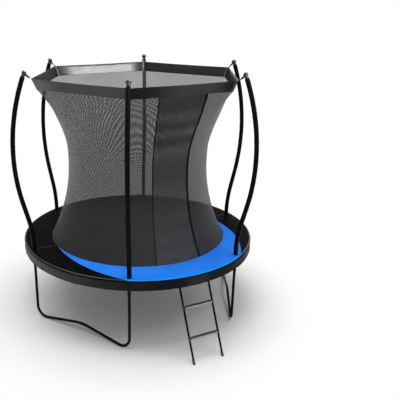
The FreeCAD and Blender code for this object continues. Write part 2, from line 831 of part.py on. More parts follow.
write("ladder_rail_left", shifted(ladder_rail(), -1))
write("ladder_rail_right", shifted(ladder_rail(), 1))
write("ladder_hooks", [shifted(ladder_hook(), side) for side in (-1, 1)])
write("ladder_step_lower", ladder_step(step_heights[0]))
write("ladder_step_upper", ladder_step(step_heights[1]))
write("ladder_step_clips", [step_clip(height, side) for height in step_heights for side in (-1, 1)])
write("ladder_feet", [shifted(ladder_foot(), side) for side in (-1, 1)])
write("ladder_bolts", [shifted(piece, side) for side in (-1, 1) for distance in hook_bolts
                       for piece in hook_bolt(distance)])
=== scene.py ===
import math

import bpy
from mathutils import Matrix, Vector, noise


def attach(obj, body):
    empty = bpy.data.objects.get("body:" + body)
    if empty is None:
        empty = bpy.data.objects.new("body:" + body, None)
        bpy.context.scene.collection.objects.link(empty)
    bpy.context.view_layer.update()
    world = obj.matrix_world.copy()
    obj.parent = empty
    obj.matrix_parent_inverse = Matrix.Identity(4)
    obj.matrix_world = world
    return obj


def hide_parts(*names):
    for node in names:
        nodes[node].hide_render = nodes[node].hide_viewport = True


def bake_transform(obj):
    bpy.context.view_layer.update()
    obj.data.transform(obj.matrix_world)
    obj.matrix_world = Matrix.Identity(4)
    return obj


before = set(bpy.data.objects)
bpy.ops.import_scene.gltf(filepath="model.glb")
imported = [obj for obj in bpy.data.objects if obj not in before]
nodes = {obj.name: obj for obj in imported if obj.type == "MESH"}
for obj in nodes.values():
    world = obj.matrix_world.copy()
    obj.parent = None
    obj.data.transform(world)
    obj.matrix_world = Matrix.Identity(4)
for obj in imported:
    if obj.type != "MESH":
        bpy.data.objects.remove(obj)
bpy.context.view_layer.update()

scene = bpy.context.scene
poleSpacing = 60.0
polePlaces = [-75.0 + poleSpacing * index for index in range(6)]  # azimuths of the six poles, in degrees
doorPlace = -45.0


# camera, for a square picture
camera = {
    "place": (1.9352, -5.7176, 3.2219), "turn": (69.4585, 0.0, 18.828),
    "lens": 51.753, "sensor": 36.0, "shift": (0.1592, 0.0384), "clip": 200.0,
}

cameraData = bpy.data.cameras.new("camera")
cameraData.lens = camera["lens"]
cameraData.sensor_width = camera["sensor"]
cameraData.shift_x, cameraData.shift_y = camera["shift"]
cameraData.clip_end = camera["clip"]
cameraPiece = bpy.data.objects.new("camera", cameraData)
cameraPiece.location = camera["place"]
cameraPiece.rotation_euler = [math.radians(turn) for turn in camera["turn"]]
scene.collection.objects.link(cameraPiece)
scene.camera = cameraPiece
scene.view_settings.view_transform = "Standard"
print("camera is set")


# shader maths

class Wire:
    # one output of a shader node; sums and products of wires add their Math nodes
    def __init__(self, tree, socket=None):
        self.tree = tree
        self.socket = socket

    def node(self, kind, settings=None, sockets=None, out=0):
        made = self.tree.nodes.new("ShaderNode" + kind)
        for name, value in (settings or {}).items():
            setattr(made, name, value)
        for name, value in (sockets or {}).items():
            if isinstance(value, Wire):
                self.tree.links.new(value.socket, made.inputs[name])
            else:
                made.inputs[name].default_value = value
        return Wire(self.tree, made.outputs[out]) if made.outputs else None

    def maths(self, operation, first, second=0.0):
        return self.node("Math", {"operation": operation}, {0: first, 1: second})

    def __add__(self, other):
        return self.maths("ADD", self, other)

    def __sub__(self, other):
        return self.maths("SUBTRACT", self, other)

    def __rsub__(self, other):
        return self.maths("SUBTRACT", other, self)

    def __mul__(self, other):
        return self.maths("MULTIPLY", self, other)

    def __truediv__(self, other):
        return self.maths("DIVIDE", self, other)

    def __pow__(self, other):
        return self.maths("POWER", self, other)

    __radd__ = __add__
    __rmul__ = __mul__

    def sine(self):
        return self.maths("SINE", self)

    def size(self):
        return self.maths("ABSOLUTE", self)

    def least(self, other):
        return self.maths("MINIMUM", self, other)

    def most(self, other):
        return self.maths("MAXIMUM", self, other)

    def step(self, low, high):
        # 0 below low, 1 above high, smooth between; low may be the higher one
        return self.node("MapRange", {"interpolation_type": "SMOOTHSTEP"}, {0: self, 1: low, 2: high})

    def stretch(self, rise, fall, strength):
        # grows to the strength over the two places of the rise and goes back to 0 over those of the fall
        return self.step(*rise) * self.step(*fall) * strength

    def mix(self, first, second):
        return self.node("Mix", {"data_type": "RGBA"}, {0: self, 6: first, 7: second}, 2)

    def parts(self):
        outputs = self.node("SeparateXYZ", None, {0: self}).socket.node.outputs
        return [Wire(self.tree, outputs[name]) for name in "XYZ"]

    def fromAxis(self):
        # distance from the upright axis through the middle
        x, y = self.parts()[:2]
        return (x * x + y * y) ** 0.5

    def scaled(self, sizes):
        return self.node("VectorMath", {"operation": "MULTIPLY"}, {0: self, 1: sizes})

    def spots(self, scale, detail=2.0):
        return self.node("TexNoise", None, {"Vector": self, "Scale": scale, "Detail": detail})

    def cells(self, scale):
        return self.node("TexVoronoi", None, {"Vector": self, "Scale": scale})

    def threads(self, pitch):
        # one wave across the cloth and one along it
        across, along = self.scaled((math.tau / pitch,) * 3).parts()[:2]
        return across.sine(), along.sine()

    def weave(self, pitch):
        across, along = self.threads(pitch)
        return across * along


def tone(red, green, blue):
    return red, green, blue, 1.0


def startMaterial(name, place="Object"):
    made = bpy.data.materials.new(name)
    made.use_nodes = True
    made.node_tree.nodes.clear()
    wire = Wire(made.node_tree)
    if place == "cloth":
        return made, wire.node("UVMap", {"uv_map": "cloth"})
    return made, wire.node("TexCoord", None, None, place)


def closeMaterial(made, wire, sockets, height, depth):
    bump = {"Strength": 1.0, "Distance": depth, "Height": height}
    sockets = {**sockets, "Normal": wire.node("Bump", None, bump)}
    shader = wire.node("BsdfPrincipled", None, sockets)
    wire.node("OutputMaterial", None, {"Surface": shader})
    return made


# in the dictionaries below, clouds, scuffs and the like give a noise's scale and detail, and an edge gives
# the two values between which one tone turns into the other

paint = {
    "black": tone(0.003, 0.003, 0.0032), "scuffed": tone(0.020, 0.020, 0.021),
    "roughness": 0.28, "uneven": 0.16, "scuffRoughness": 0.2, "shine": 0.04, "cloud": (7.0, 4.0),
    "scuffs": (55.0, 5.0), "scuffEdge": (0.60, 0.68), "scuffHeight": 0.10, "grain": 700.0, "relief": 0.00008,
}


def makeBlackPaint():
    # scuffed near the ground
    made, place = startMaterial("blackPaint")
    cloud = place.spots(*paint["cloud"])
    low = place.parts()[2].step(paint["scuffHeight"], 0.0)
    scuff = place.spots(*paint["scuffs"]).step(*paint["scuffEdge"]) * low
    sockets = {
        "Base Color": scuff.mix(paint["black"], paint["scuffed"]),
        "Roughness": cloud * paint["uneven"] + scuff * paint["scuffRoughness"] + paint["roughness"],
        "Specular IOR Level": paint["shine"],
    }
    return closeMaterial(made, place, sockets, place.spots(paint["grain"]), paint["relief"])


zinc = {
    "pale": tone(0.60, 0.61, 0.62), "dull": tone(0.40, 0.41, 0.42),
    "blackPale": tone(0.09, 0.09, 0.094), "blackDull": tone(0.04, 0.04, 0.042),
    "roughness": 0.28, "uneven": 0.12, "cloud": (16.0, 4.0), "paleEdge": (0.35, 0.7),
    "flakes": 140.0, "flakeRoughness": 0.2, "grain": 420.0, "relief": 0.00005,
}


def makeZinc(name, coordinates="Object", dull=zinc["dull"], pale=zinc["pale"]):
    made, place = startMaterial(name, coordinates)
    flake = place.cells(zinc["flakes"])
    cloud = place.spots(*zinc["cloud"])
    sockets = {
        "Base Color": cloud.step(*zinc["paleEdge"]).mix(dull, pale),
        "Roughness": flake * zinc["flakeRoughness"] + cloud * zinc["uneven"] + zinc["roughness"],
        "Metallic": 1.0,
    }
    return closeMaterial(made, place, sockets, place.spots(zinc["grain"]), zinc["relief"])


vinyl = {
    "black": tone(0.0025, 0.0025, 0.0029), "dusty": tone(0.0058, 0.0058, 0.0066), "dustEdge": (0.35, 0.75),
    "blue": tone(0.019, 0.208, 0.88), "bluePale": tone(0.029, 0.245, 0.94),
    "bluePaintedHighlight": tone(0.004, 0.33, 0.97), "side": tone(0.0020, 0.0020, 0.0022),
    "roughness": 0.36, "uneven": 0.18, "cloud": (4.5, 4.0), "shine": 0.004,
    "rimCoat": 0.7, "coatRoughness": 0.3,
    # the crescent's tips and where it is full, in degrees from the door, then its place and width
    "tip": 90.5, "full": 30.0, "inner": 0.957, "width": 0.303, "curve": 1.54, "blur": 0.0015, "tipBlur": 0.01,
    # the rim, where the blue carries a painted highlight, with the side below it
    "rimFrom": 1.2420, "rimBlur": 0.001, "sideTop": 0.7775, "sideBlur": 0.0007,
    "grain": 420.0, "grainHeight": 0.5, "dents": (38.0, 3.0), "dentHeight": 2.0, "relief": 0.0004,
}


def crescent(place):
    # 1 where the pad is blue
    x, y = place.parts()[:2]
    turn = math.sqrt(0.5)
    ahead, aside = (x - y) * turn, (x + y) * turn
    angle = place.maths("ARCTAN2", aside, ahead).size()
    tip, full = math.radians(vinyl["tip"]), math.radians(vinyl["full"])
    share = ((tip - angle) / (tip - full)).least(1.0).most(0.0)
    outline = share ** vinyl["curve"] * vinyl["width"] + vinyl["inner"]
    inside = (outline - place.fromAxis()).step(-vinyl["blur"], vinyl["blur"])
    return inside * angle.step(tip, tip - vinyl["tipBlur"])


def makePadVinyl():
    made, place = startMaterial("padVinyl")
    blue = crescent(place)
    z = place.parts()[2]
    rim = place.fromAxis().step(vinyl["rimFrom"] - vinyl["rimBlur"], vinyl["rimFrom"] + vinyl["rimBlur"])
    rim = rim * z.step(vinyl["sideTop"], vinyl["sideTop"] + vinyl["rimBlur"])
    # below the rim the side is the cover's black, painted a little darker and black under the blue too: painted
    # shade in the groove under the roll
    side = z.step(vinyl["sideTop"] + vinyl["sideBlur"], vinyl["sideTop"] - vinyl["sideBlur"])
    cloud = place.spots(*vinyl["cloud"])
    dust = cloud.step(*vinyl["dustEdge"])
    black = dust.mix(vinyl["black"], vinyl["dusty"])
    # on the rim the blue turns paler: a painted highlight
    bright = rim.mix(dust.mix(vinyl["blue"], vinyl["bluePale"]), vinyl["bluePaintedHighlight"])
    sockets = {
        "Base Color": side.mix(blue.mix(black, bright), vinyl["side"]),
        "Roughness": cloud * vinyl["uneven"] + vinyl["roughness"],
        "Specular IOR Level": vinyl["shine"],
        "Coat Weight": rim * (1.0 - blue) * vinyl["rimCoat"],
        "Coat Roughness": vinyl["coatRoughness"],
    }
    grain = place.cells(vinyl["grain"]) * vinyl["grainHeight"]
    height = grain + place.spots(*vinyl["dents"]) * vinyl["dentHeight"]
    return closeMaterial(made, place, sockets, height, vinyl["relief"])


foam = {
    "paintedGlint": tone(0.06, 0.06, 0.062), "paintedGlints": (260.0, 1.0), "paintedGlintEdge": (0.74, 0.78),
    "roughness": 0.30, "uneven": 0.2, "cloud": (22.0, 4.0), "dustEdge": (0.4, 0.75), "shine": 0.03,
    "creases": (30.0, 3.0), "creaseStretch": (1.0, 3.0, 1.0), "creaseHeight": 3.0,
    "grain": 380.0, "grainHeight": 0.3, "relief": 0.0005,
}


def makeSleeveVinyl():
    made, place = startMaterial("sleeveVinyl", "cloth")
    cloud = place.spots(*foam["cloud"])
    crease = place.scaled(foam["creaseStretch"]).spots(*foam["creases"])
    # pale specks painted on the vinyl are painted glints
    paintedGlint = place.spots(*foam["paintedGlints"]).step(*foam["paintedGlintEdge"])
    dusty = cloud.step(*foam["dustEdge"]).mix(vinyl["black"], vinyl["dusty"])
    sockets = {
        "Base Color": paintedGlint.mix(dusty, foam["paintedGlint"]),
        "Roughness": cloud * foam["uneven"] + foam["roughness"],
        "Specular IOR Level": foam["shine"],
    }
    height = crease * foam["creaseHeight"] + place.cells(foam["grain"]) * foam["grainHeight"]
    return closeMaterial(made, place, sockets, height, foam["relief"])


band = {
    "black": tone(0.0025, 0.0025, 0.0028), "worn": tone(0.006, 0.006, 0.0065), "wornEdge": (0.4, 0.7),
    "roughness": 0.18, "uneven": 0.10, "cloud": (6.0, 4.0), "shine": 0.10,
    # stretches of painted light along the band from its first pole: rise, fall and strength
    "paintedLightTone": tone(0.064, 0.064, 0.065),
    "paintedStretches": (
        ((0.15, 0.60), (1.10, 0.75), 0.75), ((5.40, 5.62), (6.66, 6.52), 1.0), ((3.5, 3.9), (4.4, 4.3), 0.3),
    ),
    # the corner that carries a painted reflection
    "paintedReflection": tone(0.15, 0.15, 0.152), "corner": ((5.48, 5.54), (5.92, 5.60), 1.0),
    # stretches that have gone dull
    "dullRoughness": 0.4,
    "dull": (
        ((3.20, 3.30), (3.54, 3.34), 1.0), ((4.13, 4.42), (5.56, 5.44), 1.0), ((2.0, 2.3), (3.3, 3.2), 0.5),
    ),
    "pulls": (16.0, 3.0), "pullStretch": (0.4, 1.2, 1.0), "pullHeight": 1.2,
    "pitch": 0.0016, "threadHeight": 0.02, "relief": 0.0008,
}


def makeBandVinyl():
    made, place = startMaterial("bandVinyl", "cloth")
    cloud = place.spots(*band["cloud"])
    around = place.parts()[0]
    # the band is painted paler along these stretches, as painted light
    paintedLight = sum(around.stretch(*stretch) for stretch in band["paintedStretches"])
    dull = sum(around.stretch(*stretch) for stretch in band["dull"])
    paintedTone = paintedLight.mix(cloud.step(*band["wornEdge"]).mix(band["black"], band["worn"]), band["paintedLightTone"])
    sockets = {
        # the palest corner is a painted reflection
        "Base Color": around.stretch(*band["corner"]).mix(paintedTone, band["paintedReflection"]),
        "Roughness": cloud * band["uneven"] + dull * band["dullRoughness"] + band["roughness"],
        "Specular IOR Level": band["shine"],
    }
    pulled = place.scaled(band["pullStretch"]).spots(*band["pulls"])
    height = pulled * band["pullHeight"] + place.weave(band["pitch"]) * band["threadHeight"]
    return closeMaterial(made, place, sockets, height, band["relief"])


cloth = {
    "cloud": (5.0, 4.0), "cloudLight": 0.6, "threadLight": 0.25, "lightEdge": (0.05, 0.6), "uneven": 0.12,
    "paintedThreadShare": 0.3,
    "skirt": tone(0.0080, 0.0080, 0.0084), "skirtPale": tone(0.0180, 0.0180, 0.0188), "skirtPitch": 0.0022,
    # stretches of the skirt with painted light and painted shade along its length: tone, rise, fall and
    # strength
    "skirtPaintedLightAndShade": (
        (tone(0.090, 0.090, 0.091), (4.00, 4.90), (6.40, 5.05), 1.0),
        (tone(0.003, 0.003, 0.0032), (6.42, 6.55), (6.86, 6.72), 0.7),
        (tone(0.034, 0.034, 0.035), (6.76, 6.90), (7.12, 7.00), 0.9),
        (tone(0.003, 0.003, 0.0032), (7.02, 7.20), (9.0, 8.5), 0.9),
        (tone(0.003, 0.003, 0.0032), (-2.0, -1.0), (1.2, 0.4), 0.9),
    ),
}


def makeWoven(name, dark, pale, pitch, roughness, sheen=0.15, shine=0.25, fuzz=0.4, relief=0.12,
              paintedStretches=()):
    # the relief is a share of the threads' pitch
    made, place = startMaterial(name, "cloth")
    cloud = place.spots(*cloth["cloud"])
    thread = place.weave(pitch)
    lit = thread * cloth["threadLight"] + cloud * cloth["cloudLight"]
    colour = lit.step(*cloth["lightEdge"]).mix(dark, pale)
    # stretches of painted light and painted shade over the cloth's own tone, its threads still showing
    for paintedTone, *stretch in paintedStretches:
        shown = thread * cloth["paintedThreadShare"] + (1.0 - cloth["paintedThreadShare"])
        colour = (place.parts()[0].stretch(*stretch) * shown).mix(colour, paintedTone)
    sockets = {
        "Base Color": colour,
        "Roughness": cloud * cloth["uneven"] + roughness,
        "Sheen Weight": sheen, "Sheen Roughness": fuzz, "Specular IOR Level": shine,
    }
    return closeMaterial(made, place, sockets, thread, pitch * relief)


jumpMat = {
    "dark": tone(0.003, 0.003, 0.0034), "pale": tone(0.052, 0.052, 0.054), "lightEdge": (0.0, 0.8),
    "pitch": 0.0026, "threadLight": 0.15, "cloud": (3.0, 4.0), "cloudLight": 0.55,
    # faint rings of painted sheen, shown in patches
    "ring": 0.066, "ringPaintedSheen": 0.12, "patches": (1.7, 2.0), "patchEdge": (0.30, 0.55), "ringRoughness": 0.03,
    "roughness": 0.46, "uneven": 0.1, "shine": 0.12, "relief": 0.0003,
}


def makeMatWeave():
    made, place = startMaterial("matWeave", "cloth")
    # the rings are painted sheen in the base colour, and they also vary the roughness
    ring = (place.fromAxis() * (math.tau / jumpMat["ring"])).sine()
    ring = ring * place.spots(*jumpMat["patches"]).step(*jumpMat["patchEdge"])
    thread = place.weave(jumpMat["pitch"])
    cloud = place.spots(*jumpMat["cloud"])
    lit = cloud * jumpMat["cloudLight"] + ring * jumpMat["ringPaintedSheen"] + thread * jumpMat["threadLight"]
    sockets = {
        "Base Color": lit.step(*jumpMat["lightEdge"]).mix(jumpMat["dark"], jumpMat["pale"]),
        "Roughness": ring * jumpMat["ringRoughness"] + cloud * jumpMat["uneven"] + jumpMat["roughness"],
        "Specular IOR Level": jumpMat["shine"],
    }
    return closeMaterial(made, place, sockets, thread, jumpMat["relief"])


# a strand covers this share of its pitch, and a hole still shows as much of the net as its value says;
# the tone turns from low to high over the heights of paleEdge
netLook = {
    "high": tone(0.029, 0.029, 0.031), "low": tone(0.024, 0.024, 0.026), "paleEdge": (0.25, 0.80),
    "share": 0.385, "hole": 0.24,
}
flapLook = {
    "high": tone(0.012, 0.012, 0.013), "low": tone(0.30, 0.30, 0.305), "paleEdge": (0.25, 1.05),
    "share": 0.50, "hole": 0.38,
}
strands = {
    "pitch": 0.0082, "edge": 0.12, "roughness": 0.62, "smoothed": 0.1, "relief": 0.0006,
    "sheen": 0.14, "fuzz": 0.4, "shine": 0.1,
}


def makeNetMesh(name, net):
    made, place = startMaterial(name, "cloth")
    across, along = place.threads(strands["pitch"])
    bar = math.cos(math.pi * net["share"])
    strand = across.most(along).step(bar - strands["edge"], bar + strands["edge"])
    climb = place.parts()[1]
    sockets = {
        "Base Color": climb.step(*net["paleEdge"]).mix(net["low"], net["high"]),
        "Roughness": strand * -strands["smoothed"] + strands["roughness"],
        "Alpha": strand * (1.0 - net["hole"]) + net["hole"],
        "Sheen Weight": strands["sheen"], "Sheen Roughness": strands["fuzz"],
        "Specular IOR Level": strands["shine"],
    }
    return closeMaterial(made, place, sockets, strand, strands["relief"])


moulded = {"cloud": (30.0, 4.0), "wornEdge": (0.5, 0.8), "uneven": 0.15, "grain": 600.0, "relief": 0.00006}


def makeMoulded(name, colour, worn, roughness, coordinates="Object", shine=0.5, onPad=False):
    made, place = startMaterial(name, coordinates)
    cloud = place.spots(*moulded["cloud"])
    colour = cloud.step(*moulded["wornEdge"]).mix(colour, worn)
    if onPad:
        # welts and stitches take the colour of the vinyl they are sewn to
        colour = crescent(place).mix(colour, cloud.mix(vinyl["blue"], vinyl["bluePale"]))
    sockets = {
        "Base Color": colour,
        "Roughness": cloud * moulded["uneven"] + roughness, "Specular IOR Level": shine,
    }
    return closeMaterial(made, place, sockets, place.spots(moulded["grain"]), moulded["relief"])


tread = {
    "paint": tone(0.018, 0.018, 0.020), "streak": tone(0.062, 0.062, 0.066), "streakEdge": (0.42, 0.64),
    "streaks": (1.0, 4.0), "streakStretch": (5.0, 160.0, 1.0), "streakShare": 0.6, "cloud": (14.0, 3.0),
    "roughness": 0.36, "uneven": 0.2, "shine": 0.2, "relief": 0.00012,
}


def makeTreadPaint():
    made, place = startMaterial("treadPaint", "cloth")
    streak = place.scaled(tread["streakStretch"]).spots(*tread["streaks"])
    cloud = place.spots(*tread["cloud"])
    lit = streak * tread["streakShare"] + cloud * (1.0 - tread["streakShare"])
    sockets = {
        "Base Color": lit.step(*tread["streakEdge"]).mix(tread["paint"], tread["streak"]),
        "Roughness": streak * tread["uneven"] + tread["roughness"], "Specular IOR Level": tread["shine"],
    }
    return closeMaterial(made, place, sockets, streak, tread["relief"])


looks = {
    "blackPaint": makeBlackPaint(),
    "zincSteel": makeZinc("zincSteel"),
    "springWire": makeZinc("springWire", "cloth"),
    "blackZinc": makeZinc("blackZinc", dull=zinc["blackDull"], pale=zinc["blackPale"]),
    "padVinyl": makePadVinyl(),
    "sleeveVinyl": makeSleeveVinyl(),
    "bandVinyl": makeBandVinyl(),
    "skirtCloth": makeWoven("skirtCloth", cloth["skirt"], cloth["skirtPale"], cloth["skirtPitch"], 0.5,
                            sheen=0.24, shine=0.03, fuzz=0.28, relief=0.10,
                            paintedStretches=cloth["skirtPaintedLightAndShade"]),
    "webbing": makeWoven("webbing", tone(0.014, 0.014, 0.015), tone(0.034, 0.034, 0.036), 0.0030, 0.6),
    "strapWebbing": makeWoven("strapWebbing", tone(0.008, 0.008, 0.009), tone(0.022, 0.022, 0.023), 0.0030,
                              0.22, sheen=0.1, shine=0.5),
    "seamCloth": makeWoven("seamCloth", tone(0.009, 0.009, 0.0095), tone(0.021, 0.021, 0.022), 0.0016, 0.6,
                           sheen=0.05, shine=0.02),
    "zipCloth": makeWoven("zipCloth", tone(0.0025, 0.0025, 0.0026), tone(0.006, 0.006, 0.0064), 0.0016, 0.6,
                          sheen=0.03, shine=0.02),
    "matWeave": makeMatWeave(),
    "netMesh": makeNetMesh("netMesh", netLook),
    "flapMesh": makeNetMesh("flapMesh", flapLook),
    "capPlastic": makeMoulded("capPlastic", tone(0.014, 0.014, 0.015), tone(0.030, 0.030, 0.031), 0.14),
    "zipLacquer": makeMoulded("zipLacquer", tone(0.012, 0.012, 0.012), tone(0.05, 0.05, 0.05), 0.22),
    "toothPlastic": makeMoulded("toothPlastic", tone(0.008, 0.008, 0.008), tone(0.02, 0.02, 0.02), 0.4,
                                "cloth", shine=0.03),
    "treadPaint": makeTreadPaint(),
    "lipPlastic": makeMoulded("lipPlastic", tone(0.24, 0.24, 0.245), tone(0.16, 0.16, 0.165), 0.42),
    "clipPlastic": makeMoulded("clipPlastic", tone(0.035, 0.035, 0.035), tone(0.06, 0.06, 0.06), 0.22,
                               shine=0.35),
    "footRubber": makeMoulded("footRubber", tone(0.022, 0.022, 0.023), tone(0.06, 0.06, 0.06), 0.7),
    "weltVinyl": makeMoulded("weltVinyl", tone(0.030, 0.030, 0.032), tone(0.055, 0.055, 0.057), 0.4,
                             shine=0.1, onPad=True),
    "padThread": makeMoulded("padThread", tone(0.04, 0.04, 0.042), tone(0.07, 0.07, 0.072), 0.6,
                             shine=0.1, onPad=True),
    "thread": makeMoulded("thread", tone(0.05, 0.05, 0.052), tone(0.09, 0.09, 0.092), 0.6),
}
print("materials are made")


# mesh helpers

ahead = Vector((1.0, 0.0, 0.0))
sideways = Vector((0.0, 1.0, 0.0))
upwards = Vector((0.0, 0.0, 1.0))


def spun(radius, azimuth, height=0.0):
    turn = math.radians(azimuth)
    return Vector((radius * math.cos(turn), radius * math.sin(turn), height))


def outwards(point):
    # level direction from the middle to a point
    return Vector((point.x, point.y, 0.0)).normalized()


def heading(degrees):
    # direction in the plane of radius and height: 0 is up, 90 is outwards
    turn = math.radians(degrees)
    return Vector((math.sin(turn), 0.0, math.cos(turn)))


def spoke(first, second, turn):
    # from the first of two directions at 0 towards the second at a quarter turn
    return first * math.cos(turn) + second * math.sin(turn)


def awayFrom(azimuth, place, period=360.0):
    # degrees to a place, or to the nearest of those that repeat with the period
    return abs((azimuth - place + period / 2) % period - period / 2)


def straightSide(fromMiddle):
    # radius of a straight side between two poles, as a share of its corners'
    return math.cos(math.radians(poleSpacing / 2)) / math.cos(math.radians(fromMiddle))


def lengthsAlong(points):
    # length of the line from its start to each point
    lengths = [0.0]
    for first, second in zip(points, points[1:]):
        lengths.append(lengths[-1] + (second - first).length)
    return lengths


def rough(point, scale, seed=0.0):
    # smooth wandering value between about -1 and 1
    return noise.noise(point * scale + Vector((seed, seed * 0.7, seed * 1.3)))


def newPiece(name, points, faces, material):
    data = bpy.data.meshes.new(name)
    data.from_pydata(points, [], faces)
    data.materials.append(material)
    piece = bpy.data.objects.new(name, data)
    scene.collection.objects.link(piece)
    return piece


def skin(name, rings, look, wrap=False, loop=False, caps=False, place=None, sharp=None):
    # joins rows of points into one surface; place(row, column) gives its cloth coordinates
    count = len(rings[0])
    points = [point for ring in rings for point in ring]
    faces, corners = [], []
    spans = count if wrap else count - 1
    rows = len(rings) if loop else len(rings) - 1
    for i in range(rows):
        low, high = i * count, (i + 1) % len(rings) * count
        for j in range(spans):
            k = (j + 1) % count
            faces.append((low + j, low + k, high + k, high + j))
            corners += [(i, j), (i, j + 1), (i + 1, j + 1), (i + 1, j)]
    if caps:
        for i in (0, len(rings) - 1):
            for j in range(count // 2 - 1):
                face = [j, j + 1, count - 2 - j, count - 1 - j]
                face = face if i else face[::-1]
                faces.append(tuple(i * count + k for k in face))
                corners += [(i, k) for k in face]
    piece = newPiece(name, points, faces, looks[look])
    if place:
        layer = piece.data.uv_layers.new(name="cloth")
        for entry, (i, j) in zip(layer.data, corners):
            entry.uv = place(i, j)
    piece.data.shade_smooth()
    if sharp:
        piece.data.set_sharp_from_angle(angle=math.radians(sharp))
    return piece


def joined(name, parts):
    # one piece out of several
    for other in bpy.context.selected_objects:
        other.select_set(False)
    for part in parts:
        part.select_set(True)
    bpy.context.view_layer.objects.active = parts[0]
    bpy.ops.object.join()
    parts[0].name = name
    parts[0].data.name = name
    parts[0].select_set(False)
    return parts[0]


def along(start, turn, steps, spacing):
    # points and headings along runs and bends; a step is a length and 0, or a radius and its degrees
    points, turns = [start.copy()], [turn]
    for size, degrees in steps:
        length = size if degrees == 0 else size * math.radians(abs(degrees))
        count = max(1, round(length / spacing))
        side = math.copysign(90.0, degrees)
        origin = points[-1]
        centre = origin + heading(turn + side) * size
        for index in range(1, count + 1):
            share = index / count
            if degrees == 0:
                points.append(origin + heading(turn) * size * share)
            else:
                points.append(centre + heading(turn - side + degrees * share) * size)
            turns.append(turn + degrees * share)
        turn += degrees
    return points, turns


def sweep(points, radius, sides):
    # rings of a round wire or cord along points in space
    rings = []
    side = None
    for index, point in enumerate(points):
        onward = points[min(index + 1, len(points) - 1)] - points[max(index - 1, 0)]
        onward.normalize()
        if side is None:
            side = onward.orthogonal()
        side = (side - onward * side.dot(onward)).normalized()
        other = onward.cross(side)
        turns = [math.tau * corner / sides for corner in range(sides)]
        rings.append([point + spoke(side, other, turn) * radius for turn in turns])
    return rings


def turnedRings(rings, azimuth):
    turn = Matrix.Rotation(math.radians(azimuth), 3, "Z")
    return [[turn @ point for point in ring] for ring in rings]


def circle(radius, height, count=720):
    # a line round the middle that ends where it starts
    return [spun(radius, 360.0 * index / count, height) for index in range(count + 1)]


stitch = {"length": 0.0055, "gap": 0.0035, "width": 0.0007}


def stitches(name, line, up=upwards, look="thread"):
    # a row of raised stitches along a close line of points
    points, faces = [], []
    travelled, start = 0.0, 0.0
    run = stitch["length"] + stitch["gap"]
    for first, second in zip(line, line[1:]):
        span = (second - first).length
        while start < travelled + span:
            onward = (second - first).normalized()
            middle = first.lerp(second, (start - travelled) / span)
            normal = up(middle) if callable(up) else up
            side = onward.cross(normal).normalized() * stitch["width"]
            half = onward * stitch["length"] / 2
            lift = normal * stitch["width"]
            base = len(points)
            points += [middle - half, middle + side, middle + half, middle - side]
            points += [middle + lift, middle - lift]
            for a, b in ((0, 1), (1, 2), (2, 3), (3, 0)):
                faces += [(base + a, base + b, base + 4), (base + b, base + a, base + 5)]
            start += run
        travelled += span
    piece = newPiece(name, points, faces, looks[look])
    piece.data.shade_smooth()
    return piece


# jumping mat with its webbing

matPlan = {
    "radius": 0.9885, "height": 0.752, "rings": 34, "spokes": 192, "hub": 0.004, "springs": 48,
    "swell": 0.0012, "swellScale": 2.2, "pull": 0.0006, "pullFrom": 0.75,
    "webbingInner": 0.962, "webbingOuter": 1.003, "webbingMiddle": 0.98, "foldRadius": 0.0031,
    # the webbing's flat side: places from its inner edge with shares of the fold's radius, and its end
    "webbingFlat": ((0.0, 0.6), (0.004, 1.0), (0.014, 1.0)), "beforeFold": 0.008,
    "webbingSpokes": 384, "webbingPull": 0.0005, "stitchRows": (0.967, 0.9875), "stitchLift": 0.0002,
}


def springWave(azimuth):
    # one wave for each spring
    return math.cos(math.radians((azimuth - polePlaces[0]) * matPlan["springs"]))


def matPoint(radius, azimuth):
    plan = matPlan
    edge = max(0.0, radius / plan["radius"] - plan["pullFrom"]) / (1.0 - plan["pullFrom"])
    lift = rough(spun(radius, azimuth), plan["swellScale"]) * plan["swell"] * (1.0 - edge)
    return spun(radius, azimuth, plan["height"] + lift + springWave(azimuth) * plan["pull"] * edge)


matRings = []
for ring in range(matPlan["rings"] + 1):
    radius = matPlan["hub"] + (matPlan["radius"] - matPlan["hub"]) * ring / matPlan["rings"]
    matRings.append([matPoint(radius, 360.0 * turn / matPlan["spokes"]) for turn in range(matPlan["spokes"])])
jumpingMat = skin("jumpingMat", matRings, "matWeave", wrap=True,
                  place=lambda i, j: matRings[i][j % matPlan["spokes"]].xy)
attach(jumpingMat, "mat")
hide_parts("mat")


def webbingOutline(pull):
    # radius and rise of the folded webbing: its top outwards, round the fold and back below
    inner, outer, fold = matPlan["webbingInner"], matPlan["webbingOuter"], matPlan["foldRadius"]
    top = [(inner + step, fold * share) for step, share in matPlan["webbingFlat"]]
    top.append((outer - matPlan["beforeFold"], fold))
    bend = []
    for degrees in range(90, -91, -30):
        turn = math.radians(degrees)
        bend.append((outer - fold + fold * math.cos(turn) + pull, fold * math.sin(turn)))
    return top + bend + [(radius, -rise) for radius, rise in top[::-1]]


webbingRings = []
for turn in range(matPlan["webbingSpokes"]):
    azimuth = 360.0 * turn / matPlan["webbingSpokes"]
    outline = webbingOutline(springWave(azimuth) * matPlan["webbingPull"])
    webbingRings.append([spun(radius, azimuth, matPlan["height"] + rise) for radius, rise in outline])
webbingWidths = lengthsAlong(webbingRings[0])
webbingStep = math.tau * matPlan["webbingMiddle"] / matPlan["webbingSpokes"]
matEdge = skin("matEdge", webbingRings, "webbing", loop=True,
               place=lambda i, j: (webbingWidths[j], i * webbingStep))
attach(matEdge, "mat")
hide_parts("mat_webbing")
seamHeight = matPlan["height"] + matPlan["foldRadius"] + matPlan["stitchLift"]
for number, radius in enumerate(matPlan["stitchRows"]):
    row = stitches("matStitches%d" % (number + 1), circle(radius, seamHeight))
    row.parent = matEdge
print("mat is made")


# coil springs between the mat and the ring

